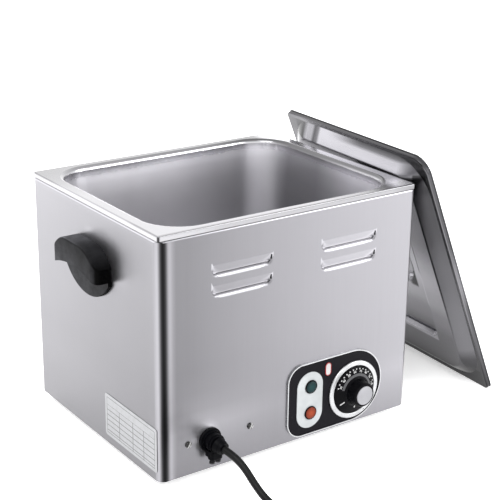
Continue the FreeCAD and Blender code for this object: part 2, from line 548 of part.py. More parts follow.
HS = [(-38.5, 201.0), (38.5, 201.0)]
h0 = handle()
ear = h0.copy()
ear.Placement = FreeCAD.Placement(V(LEFT, HANDLE_Y, 0), rotation_from(V(0, -1, 0), V(0, 0, 1), V(-1, 0, 0)))
handle_left = ear
ear = h0.copy()
ear.Placement = FreeCAD.Placement(V(RIGHT, HANDLE_Y, 0), rotation_from(V(0, 1, 0), V(0, 0, 1), V(1, 0, 0)))
handle_right = ear
hs, hw_ = [], []
for sx in (-1, 1):
    for dy, z in HS:
        y = HANDLE_Y + dy
        x_in = sx * (CASE_W / 2 - SHEET)
        d = V(sx, 0, 0)
        b = cyl(x_in - sx * 1.2, y, z, 2.5, 12.0, d).fuse(hexa(x_in - sx * 4.4, y, z, 8, 3.2, d))
        hs.append(b)
        hw_.append(cyl(x_in - sx * 1.2, y, z, 6.0, 1.2, d).cut(cyl(x_in - sx * 5, y, z, 2.5, 20, d)))
handle_bolts = group(hs)
handle_washers = group(hw_)
handle_left = handle_left.cut(handle_bolts)
handle_right = handle_right.cut(handle_bolts)
shell = shell.cut(handle_bolts)

# ------------------------------------------------------------------ underside: feet and screws
FEET = [(-112, -86), (112, -86), (-112, 86), (112, 86)]
feet, foot_screws = [], []
for x, y in FEET:
    f = cone(x, y, FLOOR, 11.5, 13.5, FOOT_H + SHEET)
    f = fillet(f, 1.5, lambda e: bb(e).ZMax < FLOOR + 0.01)
    f = f.cut(cyl(x, y, FLOOR - 1, 5.2, 7.0))
    sc = cyl(x, y, FLOOR + 3.4, 4.6, 2.6).fuse(cyl(x, y, FLOOR + 3.4, 2.4, FOOT_H + 4.0))
    sc = sc.cut(box(x - 5, x + 5, y - 0.5, y + 0.5, FLOOR + 3.2, FLOOR + 4.4))
    feet.append(f.cut(sc))
    foot_screws.append(sc)
feet = group(feet)
foot_screws = group(foot_screws)
foot_nuts = group([hexa(x, y, 2 * SHEET, 8, 4).cut(cyl(x, y, 0, 2.4, 20)) for x, y in FEET])
base = base.cut(foot_screws)

bs = []
for x, y in ((-120, FRONT + 8), (0, FRONT + 8), (120, FRONT + 8), (-157, 0), (157, 0)):
    h = cyl(x, y, 0, 3.4, 1.6, V(0, 0, -1)).fuse(cyl(x, y, 0, 1.6, 8))
    bs.append(h.cut(box(x - 4, x + 4, y - 0.4, y + 0.4, -2, -0.8)))
base_screws = group(bs)
shell = shell.cut(base_screws)
base = base.cut(base_screws)

rs = []
for x, z in ((-149.4, 30), (149.4, 30), (-149.4, 129), (149.4, 129), (-149.4, 226), (149.4, 226)):
    h = cyl(x, BACK, z, 3.4, 1.6, V(0, 1, 0))
    h = fillet(h, 0.9, lambda e: bb(e).YMin > BACK + 1.5)
    h = h.fuse(cyl(x, BACK, z, 1.7, 7, V(0, -1, 0)))
    rs.append(h.cut(box(x - 4, x + 4, BACK + 0.9, BACK + 2, z - 0.4, z + 0.4)).cut(box(x - 0.4, x + 0.4, BACK + 0.9, BACK + 2, z - 4, z + 4)))
rear_screws = group(rs)
shell = shell.cut(rear_screws)
rear = rear.cut(rear_screws)

# ------------------------------------------------------------------ wiring compartment
bulb = cyl(60, -46, 98.0, 3.0, 62, V(0, 1, 0))
bulb = fillet(bulb, 1.6, lambda e: bb(e).YMin > 15)
bulb_clip = box(52, 68, -20, -8, 93.0, 94.0).fuse(cyl(60, -20, 98.0, 4.0, 12, V(0, 1, 0)).cut(box(50, 70, -30, 0, 99.5, 110))).fuse(box(58.8, 61.2, -20, -8, 93.5, 95.2)).cut(cyl(60, -30, 98.0, 3.0, 40, V(0, 1, 0)))
cap_nut = hexa(60, -66, TANK_BOTTOM + TANK_T, 10, 3).fuse(hexa(60, -66, TANK_BOTTOM - 4, 10, 4)).fuse(cyl(60, -66, TANK_BOTTOM - 4, 3.5, 8)).cut(cyl(60, -66, 60, 0.9, 60))
tank = tank.cut(cyl(60, -66, TANK_BOTTOM - 2, 3.5, 5))
capillary = tube([(78, th_y + 28, 52), (78, -92, 52), (60, -82, 62), (60, -66, 72), (60, -66, 98.0), (60, -46, 98.0)], 0.9, 0.4, say="capillary_tube")
cap_nut = cap_nut.cut(capillary)
cutout = cyl(-40, 30, TANK_BOTTOM - 3.0, 8.0, 3.0).fuse(cyl(-40, 30, TANK_BOTTOM - 13.0, 6.5, 10.0))
cutout = cutout.fuse(box(-46, -44.8, 27, 33, TANK_BOTTOM - 20, TANK_BOTTOM - 13)).fuse(box(-35.2, -34, 27, 33, TANK_BOTTOM - 20, TANK_BOTTOM - 13))
cut_clip = box(-62, -18, 24, 36, TANK_BOTTOM - 4.0, TANK_BOTTOM - 3.0).fuse(box(-62, -54, 24, 36, TANK_BOTTOM - 4, TANK_BOTTOM)).fuse(box(-26, -18, 24, 36, TANK_BOTTOM - 4, TANK_BOTTOM)).cut(cyl(-40, 30, 60, 6.5, 31.0)).cut(cyl(-40, 30, TANK_BOTTOM - 3.0, 8.0, 10))

TBX, TBY = -40.0, -84.0
block = box(TBX - 30, TBX + 30, TBY - 11, TBY + 11, 2 * SHEET, 20)
block = fillet(block, 1.0, lambda e: bb(e).ZMin > 19.9)
tb_screws = []
for i in range(5):
    x = TBX - 24 + 12 * i
    block = block.cut(box(x - 4.6, x + 4.6, TBY - 3.0, TBY + 3.0, 14, 21))
    for y in (TBY - 6.5, TBY + 6.5):
        sc = cyl(x, y, 9, 2.6, 9.6)
        block = block.cut(cyl(x, y, 9, 2.6, 12))
        tb_screws.append(sc.cut(box(x - 3, x + 3, y - 0.35, y + 0.35, 17.8, 19)))
terminal_screws = group(tb_screws)
stud = cyl(-125, -60, 2 * SHEET, 2.5, 18).fuse(hexa(-125, -60, 2 * SHEET, 8, 4)).fuse(hexa(-125, -60, 9.2, 8, 4)).fuse(cyl(-125, -60, 8.0, 5.5, 1.2))

wires = []


def wire(pts, r=1.3, bend=0.42):
    wires.append(tube(pts, r, bend))


wire([(GX - 2.5, FRONT + 14.5, GZ), (GX - 2.5, -110, GZ), (-86, -108, 26), (TBX - 24, TBY - 24, 16), (TBX - 24, TBY - 11.6, 12)])
wire([(GX + 2.5, FRONT + 14.5, GZ - 1), (GX + 2.5, -112, GZ - 4), (-76, -110, 24), (TBX - 12, TBY - 24, 14), (TBX - 12, TBY - 11.6, 12)])
wire([(GX - 0.2, FRONT + 14.5, GZ + 3), (GX - 0.2, -104, GZ), (-118, -84, 22), (-125, -72, 9.5), (-125, -66.2, 9.0)])
wire([(TBX + 24, TBY + 11.6, 12), (TBX + 24, TBY + 24, 14), (10, -56, 30), (0, -66, 46), (-20, -92, 54), (-20, -92, 69.6)])
wire([(TBX + 12, TBY + 11.6, 12), (TBX + 12, TBY + 30, 14), (24, -44, 34), (30, -66, 48), (20, -92, 54), (20, -92, 69.6)])
wire([(TBX - 12, TBY + 11.6, 12), (TBX - 12, TBY + 28, 18), (-60, 0, 40), (-46, 28, 60), (-45.4, 30, 71.9)])
wire([(TBX, TBY + 11.6, 12), (TBX, TBY + 28, 18), (-34, 0, 44), (-36, 28, 58), (-34.6, 30, 71.9)])
internal_wires = group(wires)

# rating plate on the left wall, bare
rating = box(LEFT - 0.5, LEFT, -128.0, -22.5, 9.5, 58.5)
rating = fillet(rating, 3.0, lambda e: bb(e).XLength > 0.4 and bb(e).YLength < 0.01 and bb(e).ZLength < 0.01)

# ------------------------------------------------------------------ lid (built flat, then leant on the side)
def lid_shape():
    A, B, F, F0, WL = LID_A, LID_B, LID_FLANGE, LID_FLANGE_LOW, LID_WALL
    slope = math.atan2(LID_RISE, WL)
    q = (1.0 / math.cos(slope) - 1.0) / math.tan(slope)      # sideways share of the sheet on the sloped wall
    cup = dict(u=A / 2, v=B / 2, hu=32.0, hv=61.0)
    floor_n = LID_RISE - 5.5

    def body(t):
        """Solid under the outside face, moved in by t."""
        k = q * t
        rise = loft([
            rwire(F0 + k, A - F - k, F + k, B - F - k, 44 - k, -2.0 - t),
            rwire(F0 + k, A - F - k, F + k, B - F - k, 44 - k, 0.0 - t),
            rwire(F0 + WL + k, A - F - WL - k, F + WL + k, B - F - WL - k, 27 - k, LID_RISE - t),
        ])
        return fillet(rise, 4.5 - t, lambda e: bb(e).ZMin > LID_RISE - t - 0.01)

    def pocket(t):
        """What is pressed down into the raised top."""
        m = 2.0
        p = loft([
            rwire(64 - t, A - 64 + t, 54 - t, B - 54 + t, 12 + t, LID_RISE + 1.0),
            rwire(64 - t, A - 64 + t, 54 - t, B - 54 + t, 12 + t, LID_RISE),
            rwire(64 + m - t, A - 64 - m + t, 54 + m - t, B - 54 - m + t, 11 + t, floor_n - t),
        ])
        z0 = floor_n
        c = loft([
            rwire(cup["u"] - cup["hu"] - t, cup["u"] + cup["hu"] + t, cup["v"] - cup["hv"] - t, cup["v"] + cup["hv"] + t, cup["hu"] - 1 + t, z0 + 0.6),
            rwire(cup["u"] - cup["hu"] - t, cup["u"] + cup["hu"] + t, cup["v"] - cup["hv"] - t, cup["v"] + cup["hv"] + t, cup["hu"] - 1 + t, z0 - t),
            rwire(cup["u"] - cup["hu"] + 4 - t, cup["u"] + cup["hu"] - 4 + t, cup["v"] - cup["hv"] + 4 - t, cup["v"] + cup["hv"] - 4 + t, cup["hu"] - 5 + t, z0 - 5.5 - t),
            rwire(cup["u"] - cup["hu"] + 8 - t, cup["u"] + cup["hu"] - 8 + t, cup["v"] - cup["hv"] + 8 - t, cup["v"] + cup["hv"] - 8 + t, cup["hu"] - 9 + t, z0 - 7.5 - t),
        ])
        return p.fuse(c)

    slab = rplate(0, A, 0, B, LID_CORNERS, -LID_SKIRT, 0)
    slab = fillet(slab, 1.6, lambda e: bb(e).ZMin > -0.01)
    under = rplate(LID_T, A - LID_T, LID_T, B - LID_T, tuple(c - LID_T for c in LID_CORNERS), -LID_SKIRT - 1, -LID_T)
    under = fillet(under, 0.8, lambda e: bb(e).ZMin > -LID_T - 0.01)
    outside = slab.fuse(body(0.0)).cut(pocket(0.0))
    inside = under.fuse(body(LID_T)).cut(pocket(LID_T))
    s = outside.cut(inside)
    # rolled bead at the foot of the skirt
    bead_o = rplate(-0.9, A + 0.9, -0.9, B + 0.9, tuple(c + 0.9 for c in LID_CORNERS), -LID_SKIRT - 1.2, -LID_SKIRT + 0.6)
    bead_o = fillet(bead_o, 0.8, lambda e: True if (bb(e).ZLength < 0.01) else False)
    bead_i = rplate(LID_T, A - LID_T, LID_T, B - LID_T, tuple(c - LID_T for c in LID_CORNERS), -LID_SKIRT - 3, 0)
    return s.fuse(bead_o.cut(bead_i))


lid_flat = solid_of(lid_shape())
lid = lidded(lid_flat)

zc = LID_RISE - 5.5
um, vm = LID_A / 2, LID_B / 2
hp = [(-43, zc), (-34.5, zc), (-28, zc + 4.6), (28, zc + 4.6), (34.5, zc), (43, zc)]
up = [(43, zc + 2.0), (35.3, zc + 2.0), (28.8, zc + 6.6), (-28.8, zc + 6.6), (-35.3, zc + 2.0), (-43, zc + 2.0)]
hv = [V(um + a, vm - 12, b) for a, b in hp + up]
strap = Part.Face(Part.makePolygon(hv + [hv[0]])).extrude(V(0, 24, 0))
strap = fillet(strap, 4.0, lambda e: bb(e).ZLength > 1.9 and bb(e).XLength < 0.01 and bb(e).YLength < 0.01)
rv = []
for a in (-38.9, 38.9):
    for b in (-6, 6):
        rv.append(cyl(um + a, vm + b, zc - LID_T - 0.9, 1.5, LID_T + 0.9 + 2.0 + 0.9).fuse(cyl(um + a, vm + b, zc + 2.0, 2.6, 0.9)).fuse(cyl(um + a, vm + b, zc - LID_T - 0.9, 2.4, 0.9)))
rivets = group(rv)
strap = strap.cut(rivets)
lid = lid.cut(lidded(rivets))

# ------------------------------------------------------------------ nodes
put("body_shell", solid_of(shell))
put("rear_panel", rear)
put("base_plate", base)
put("inner_tank", tank)
put("heating_element", element)
put("element_fittings", fittings)
put("element_saddles", supports)
put("thermostat_body", thermo)
put("thermostat_screws", thermostat_screws)
put("thermostat_spindle", spindle)
put("capillary_tube", capillary)
put("capillary_gland", cap_nut)
put("sensor_bulb", bulb)
put("bulb_clip", bulb_clip)
put("thermal_cutout", cutout)
put("cutout_bridge", cut_clip)
put("knob", knob)
put("knob_cap", cap)
put("dial_bezel", bezel)
put("control_plate", plate)
put("control_trim", trim)
put("lamp_plate", lamp_plate)
put("badge_plate", badge)
put("power_lamp_lens", lens["power_lamp"])
put("heat_lamp_lens", lens["heat_lamp"])
put("lamp_bezels", group(bezels))
put("lamp_bodies", group(lamp_bodies))
put("lamp_nuts", group(lamp_nuts))
put("gland_flange", gland_flange)
put("gland_body", gland_body)
put("gland_clamp", clamp)
put("gland_clamp_screws", clamp_screws)
put("gland_collar", collar_)
put("gland_locknut", locknut)
put("gland_bracket", bracket)
put("bracket_nuts", bracket_nuts)
put("front_screws", front_screws)
put("power_cord", cord)
put("cord_coil", coil)
put("cord_tail", lead)
put("plug", plug)
put("plug_pins", pins)
put("side_handle_left", handle_left)
put("side_handle_right", handle_right)
put("handle_bolts", handle_bolts)
put("handle_washers", handle_washers)
put("feet", feet)
put("foot_screws", foot_screws)
put("foot_nuts", foot_nuts)
put("base_screws", base_screws)
put("rear_screws", rear_screws)
put("terminal_block", block)
put("terminal_screws", terminal_screws)
put("earth_stud", stud)
put("internal_wires", internal_wires)
put("rating_plate", rating)
put("pan", pan)
put("lid", lid)
put("lid_handle", lidded(strap))
put("lid_rivets", lidded(rivets))

CORDS = ("power_cord", "cord_coil", "cord_tail", "plug", "plug_pins")
lo, hi = V(1e9, 1e9, 1e9), V(-1e9, -1e9, -1e9)
for name, s in nodes.items():
    s = s.copy()
    s.translate(SHIFT)
    if not s.isValid():
        print("INVALID", name)
    if name not in CORDS:
        b = s.BoundBox
        lo = V(min(lo.x, b.XMin), min(lo.y, b.YMin), min(lo.z, b.ZMin))
        hi = V(max(hi.x, b.XMax), max(hi.y, b.YMax), max(hi.z, b.ZMax))
    s.exportStep("parts/%s.step" % name)
print("nodes", len(nodes))
print("object box", [round(v, 3) for v in (lo.x, lo.y, lo.z, hi.x, hi.y, hi.z)], "centre x,y", round((lo.x + hi.x) / 2, 3), round((lo.y + hi.y) / 2, 3))
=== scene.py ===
import bpy
import bmesh
import math
from mathutils import Matrix, Vector


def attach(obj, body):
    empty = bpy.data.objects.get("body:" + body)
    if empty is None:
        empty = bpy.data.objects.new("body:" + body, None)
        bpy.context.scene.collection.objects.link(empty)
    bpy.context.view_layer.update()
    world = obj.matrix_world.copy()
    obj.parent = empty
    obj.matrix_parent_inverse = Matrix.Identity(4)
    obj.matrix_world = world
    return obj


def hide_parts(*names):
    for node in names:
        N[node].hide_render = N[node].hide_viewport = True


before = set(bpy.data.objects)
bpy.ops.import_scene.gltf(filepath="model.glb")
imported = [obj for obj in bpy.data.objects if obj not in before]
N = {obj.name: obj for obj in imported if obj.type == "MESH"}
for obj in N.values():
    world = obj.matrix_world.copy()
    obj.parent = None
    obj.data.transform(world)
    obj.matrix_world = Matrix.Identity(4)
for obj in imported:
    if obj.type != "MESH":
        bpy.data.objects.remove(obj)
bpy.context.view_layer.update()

# ------------------------------------------------------------------ frame helpers
# Numbers below are in millimetres in the construction frame of the machine (X right along the
# front, Y to the back, z = 0 at the casing's lower edge); P() moves them into the row frame.
OX, OY, OZ = -60.267, 12.031, 10.0
CASE_W, CASE_D = 329.0, 267.3
FRONT, BACK = -CASE_D / 2, CASE_D / 2
LEFT, RIGHT = -CASE_W / 2, CASE_W / 2
PAN_TOP, CASE_H = 264.5, 258.7
FLOOR = -10.0
KEY = 0.62              # surfaces are darker by this much and the light stronger by the same


def P(x, y, z):
    return Vector(((x + OX) / 1000.0, (y + OY) / 1000.0, (z + OZ) / 1000.0))


def mm(v):
    return v / 1000.0


# ------------------------------------------------------------------ camera
YAW, PITCH, ROLL = math.radians(35.337), math.radians(19.585), math.radians(0.7684)
d = Vector((math.sin(YAW) * math.cos(PITCH), math.cos(YAW) * math.cos(PITCH), -math.sin(PITCH)))
right = Vector((math.cos(YAW), -math.sin(YAW), 0))
up = right.cross(d)
c_, s_ = math.cos(ROLL), math.sin(ROLL)
r2 = right * c_ + up * s_
u2 = right * -s_ + up * c_
cam_data = bpy.data.cameras.new("camera")
cam_data.sensor_fit = "HORIZONTAL"
cam_data.sensor_width = 36.0
cam_data.lens = 36.0 * 1287.15 / 500.0
cam_data.clip_start = 0.01
cam = bpy.data.objects.new("camera", cam_data)
bpy.context.scene.collection.objects.link(cam)
loc = P(-758.13, -1122.70, 662.52)
rot = Matrix((r2, u2, -d)).transposed()
cam.matrix_world = Matrix.Translation(loc) @ rot.to_4x4()
bpy.context.scene.camera = cam


# ------------------------------------------------------------------ mesh helpers
def new_mesh(name, bm, smooth=True, angle=None):
    me = bpy.data.meshes.new(name)
    bm.normal_update()
    bm.to_mesh(me)
    bm.free()
    if smooth:
        for p in me.polygons:
            p.use_smooth = True
    o = bpy.data.objects.new(name, me)
    bpy.context.scene.collection.objects.link(o)
    if angle is not None:
        me.set_sharp_from_angle(angle=math.radians(angle))
    return o


def rings_mesh(bm, rings, closed_ring=True, cap_start=True, cap_end=True, loop=False):
    """Skins a list of rings of points (equal counts) with quads."""
    vr = [[bm.verts.new(p) for p in r] for r in rings]
    n = len(vr[0])
    m = len(vr)
    for i in range(m if loop else m - 1):
        a, b = vr[i], vr[(i + 1) % m]
        for j in range(n if closed_ring else n - 1):
            k = (j + 1) % n
            bm.faces.new((a[j], a[k], b[k], b[j]))
    if not loop:
        if cap_start:
            bm.faces.new(list(reversed(vr[0])))
        if cap_end:
            bm.faces.new(vr[-1])
    return vr


def lathe(bm, profile, centre, axis, ref, seg=64, close=True):
    """Revolves (radius, height) pairs about axis through centre; radius 0 ends as a single point."""
    axis = axis.normalized()
    ref = (ref - axis * ref.dot(axis)).normalized()
    side = axis.cross(ref)
    rows = []
    for r, h in profile:
        if r <= 1e-9:
            rows.append([bm.verts.new(centre + axis * h)])
        else:
            rows.append([bm.verts.new(centre + axis * h + ref * (r * math.cos(2 * math.pi * i / seg)) + side * (r * math.sin(2 * math.pi * i / seg))) for i in range(seg)])
    for a, b in zip(rows, rows[1:]):
        for i in range(seg):
            k = (i + 1) % seg
            if len(a) == 1 and len(b) == 1:
                continue
            if len(a) == 1:
                bm.faces.new((a[0], b[k], b[i]))
            elif len(b) == 1:
                bm.faces.new((a[i], a[k], b[0]))
            else:
                bm.faces.new((a[i], a[k], b[k], b[i]))
    if close and len(rows[0]) > 1 and len(rows[-1]) > 1:
        a, b = rows[-1], rows[0]
        for i in range(seg):
            k = (i + 1) % seg
            bm.faces.new((a[i], a[k], b[k], b[i]))
    return rows


# ------------------------------------------------------------------ material helpers
class Mat:
    def __init__(self, name, color=(0.5, 0.5, 0.5), metallic=0.0, rough=0.5, **sockets):
        self.m = bpy.data.materials.new(name)
        self.m.use_nodes = True
        self.nt = self.m.node_tree
        self.nt.nodes.clear()
        self.out = self.nt.nodes.new("ShaderNodeOutputMaterial")
        self.b = self.nt.nodes.new("ShaderNodeBsdfPrincipled")
        self.nt.links.new(self.b.outputs[0], self.out.inputs[0])
        self.b.inputs["Base Color"].default_value = (*color, 1)
        self.b.inputs["Metallic"].default_value = metallic
        self.b.inputs["Roughness"].default_value = rough
        for k, v in sockets.items():
            k = k.replace("_", " ")
            self.b.inputs[k].default_value = v
        self.tc = self.nt.nodes.new("ShaderNodeTexCoord")
        self.x = 0

    def node(self, kind, **props):
        n = self.nt.nodes.new(kind)
        for k, v in props.items():
            setattr(n, k, v)
        return n

    def link(self, a, b):
        self.nt.links.new(a, b)

    def mapped(self, scale, rot=(0, 0, 0), loc=(0, 0, 0)):
        n = self.node("ShaderNodeMapping")
        n.inputs["Scale"].default_value = scale
        n.inputs["Rotation"].default_value = rot
        n.inputs["Location"].default_value = loc
        self.link(self.tc.outputs["Object"], n.inputs["Vector"])
        return n.outputs[0]

    def noise(self, scale, detail=3.0, rough=0.55, vec=None, distortion=0.0):
        n = self.node("ShaderNodeTexNoise")
        n.inputs["Scale"].default_value = scale
        n.inputs["Detail"].default_value = detail
        n.inputs["Roughness"].default_value = rough
        n.inputs["Distortion"].default_value = distortion
        self.link(vec if vec is not None else self.tc.outputs["Object"], n.inputs["Vector"])
        return n.outputs["Fac"]

    def math(self, op, a, b=None, c=None, clamp=False):
        n = self.node("ShaderNodeMath", operation=op, use_clamp=clamp)
        for i, v in enumerate((a, b, c)):
            if v is None:
                continue
            if isinstance(v, (int, float)):
                n.inputs[i].default_value = v
            else:
                self.link(v, n.inputs[i])
        return n.outputs[0]

    def span(self, fac, lo, hi, a=0.0, b=1.0, smooth=True):
        n = self.node("ShaderNodeMapRange")
        n.interpolation_type = "SMOOTHSTEP" if smooth else "LINEAR"
        n.inputs["From Min"].default_value = a
        n.inputs["From Max"].default_value = b
        n.inputs["To Min"].default_value = lo
        n.inputs["To Max"].default_value = hi
        self.link(fac, n.inputs["Value"])
        return n.outputs["Result"]

    def mix(self, fac, a, b):
        n = self.node("ShaderNodeMix", data_type="RGBA")
        if isinstance(fac, (int, float)):
            n.inputs["Factor"].default_value = fac
        else:
            self.link(fac, n.inputs["Factor"])
        for i, v in ((6, a), (7, b)):
            if isinstance(v, tuple):
                n.inputs[i].default_value = (*v, 1) if len(v) == 3 else v
            else:
                self.link(v, n.inputs[i])
        return n.outputs[2]

    def color(self, out, key=None):
        n = self.node("ShaderNodeVectorMath", operation="SCALE")
        n.inputs["Scale"].default_value = KEY if key is None else key
        self.link(out, n.inputs[0])
        self.link(n.outputs[0], self.b.inputs["Base Color"])

    def rough(self, out):
        self.link(out, self.b.inputs["Roughness"])

    def bump(self, out, strength, distance):
        n = self.node("ShaderNodeBump")
        n.inputs["Strength"].default_value = strength
        n.inputs["Distance"].default_value = distance
        self.link(out, n.inputs["Height"])
        self.link(n.outputs[0], self.b.inputs["Normal"])
        return n

    def xyz(self):
        n = self.node("ShaderNodeSeparateXYZ")
        self.link(self.tc.outputs["Object"], n.inputs[0])
        return n.outputs

    def place(self):
        """Position in millimetres in the construction frame."""
        n = self.node("ShaderNodeVectorMath", operation="MULTIPLY_ADD")
        n.inputs[1].default_value = (1000.0, 1000.0, 1000.0)
        n.inputs[2].default_value = (-OX, -OY, -OZ)
        self.link(self.tc.outputs["Object"], n.inputs[0])
        return n.outputs[0]

    def split(self, vec):
        n = self.node("ShaderNodeSeparateXYZ")
        self.link(vec, n.inputs[0])
        return n.outputs

    def along(self, vec, origin, axis):
        """How far a place lies from origin along axis."""
        a = self.node("ShaderNodeVectorMath", operation="SUBTRACT")
        a.inputs[1].default_value = origin
        self.link(vec, a.inputs[0])
        n = self.node("ShaderNodeVectorMath", operation="DOT_PRODUCT")
        n.inputs[1].default_value = axis
        self.link(a.outputs[0], n.inputs[0])
        return n.outputs["Value"]

    def curve(self, fac, stops, soft=False):
        """Value read off a line through (place, value) stops."""
        a, b = stops[0][0], stops[-1][0]
        t = self.span(fac, 0.0, 1.0, a, b, smooth=False)
        n = self.node("ShaderNodeValToRGB")
        cr = n.color_ramp
        cr.interpolation = "B_SPLINE" if soft else "LINEAR"
        cr.elements[0].position = 0.0
        cr.elements[1].position = 1.0
        for q in stops[1:-1]:
            cr.elements.new((q[0] - a) / (b - a))
        for e, q in zip(cr.elements, stops):
            e.position = (q[0] - a) / (b - a)
            e.color = (q[1], q[1], q[1], 1)
        self.link(t, n.inputs[0])
        return n.outputs[0]

    def blend(self, fac, a, b):
        """a where fac is 0, b where it is 1."""
        n = self.node("ShaderNodeMix", data_type="FLOAT")
        self.link(fac, n.inputs[0])
        for i, v in ((2, a), (3, b)):
            if isinstance(v, (int, float)):
                n.inputs[i].default_value = v
            else:
                self.link(v, n.inputs[i])
        return n.outputs[0]

    def mul(self, a, b):
        return self.math("MULTIPLY", a, b)

    def step(self, v, a, b):
        """0 below a, 1 above b; the other way round when a is the larger."""
        return self.span(v, 0.0, 1.0, a, b) if a < b else self.span(v, 1.0, 0.0, b, a)

    def tint(self, tone, rgb):
        n = self.node("ShaderNodeCombineColor")
        for i, k in enumerate(rgb):
            self.link(self.math("MULTIPLY", tone, k * KEY, clamp=True), n.inputs[i])
        self.color(n.outputs[0], 1.0)


def brushed(name, base, rough, along="z", grain=0.05, lines=1.0, blotch=0.06, cool=(1.0, 1.0, 1.0)):
    """Sheet metal with fine drawn lines along one axis, soft cloudiness and a few handling marks."""
    m = Mat(name, base, 1.0, rough)
    sc = {"z": (1.0, 1.0, 0.018), "x": (0.018, 1.0, 1.0), "y": (1.0, 0.018, 1.0)}[along]
    v = m.mapped(sc)
    fine = m.noise(900.0 * lines, 2.0, 0.6, v)
    mid = m.noise(240.0 * lines, 2.0, 0.6, v)
    both = m.math("ADD", m.math("MULTIPLY", fine, 0.6), m.math("MULTIPLY", mid, 0.4))
    cloud = m.noise(9.0, 3.0, 0.5)
    smear = m.noise(26.0, 4.0, 0.6, m.mapped((1.0, 1.0, 0.45)))
    tone = m.math("ADD", m.math("MULTIPLY", m.math("SUBTRACT", both, 0.5), grain * 2), m.math("MULTIPLY", m.math("SUBTRACT", cloud, 0.5), blotch))
    light = tuple(min(1.0, k * (1 + 0.5 * grain + 0.1) * q) for k, q in zip(base, cool))
    dark = tuple(k * (1 - 0.5 * grain - 0.1) for k in base)
    m.color(m.mix(m.math("ADD", 0.5, m.math("MULTIPLY", tone, 2.0), clamp=True), dark, light))
    r = m.math("ADD", rough, m.math("MULTIPLY", m.math("SUBTRACT", both, 0.5), 0.16))
    r = m.math("ADD", r, m.math("MULTIPLY", m.math("SUBTRACT", smear, 0.5), 0.10), clamp=True)
    m.rough(r)
    m.bump(both, 0.10, 0.00025)
    return m


def sheet(name, rough, along_axis, fine=0.05, cloud=0.03, bumpy=0.05):
    """Base of the shaped sheet metals: drawn grain, slow cloudiness; returns the material and its grain factor."""
    m = Mat(name, (0.5, 0.5, 0.52), 1.0, rough)
    sc = {"z": (1.0, 1.0, 0.010), "x": (0.012, 1.0, 1.0), "y": (1.0, 0.012, 1.0), "n": (0.3, 0.3, 0.3)}[along_axis]
    g = m.noise(1500.0, 2.0, 0.5, m.mapped(sc))
    w = m.noise(260.0, 2.0, 0.6, m.mapped(sc))
    c = m.noise(11.0, 3.0, 0.5)
    both = m.math("ADD", m.mul(g, 0.6), m.mul(w, 0.4))
    f = m.math("ADD", 1.0, m.math("ADD", m.mul(m.math("SUBTRACT", both, 0.5), fine), m.mul(m.math("SUBTRACT", c, 0.5), cloud)))
    r = m.math("ADD", rough, m.math("ADD", m.mul(m.math("SUBTRACT", both, 0.5), 0.10), m.mul(m.math("SUBTRACT", m.noise(30.0, 3.0), 0.5), 0.06)), clamp=True)
    m.rough(r)
    m.worn = r
    m.bump(both, bumpy, 0.0002)
    return m, f


def turned(m):
    """Own direction of the surface, as three numbers."""
    return m.split(m.tc.outputs["Normal"])


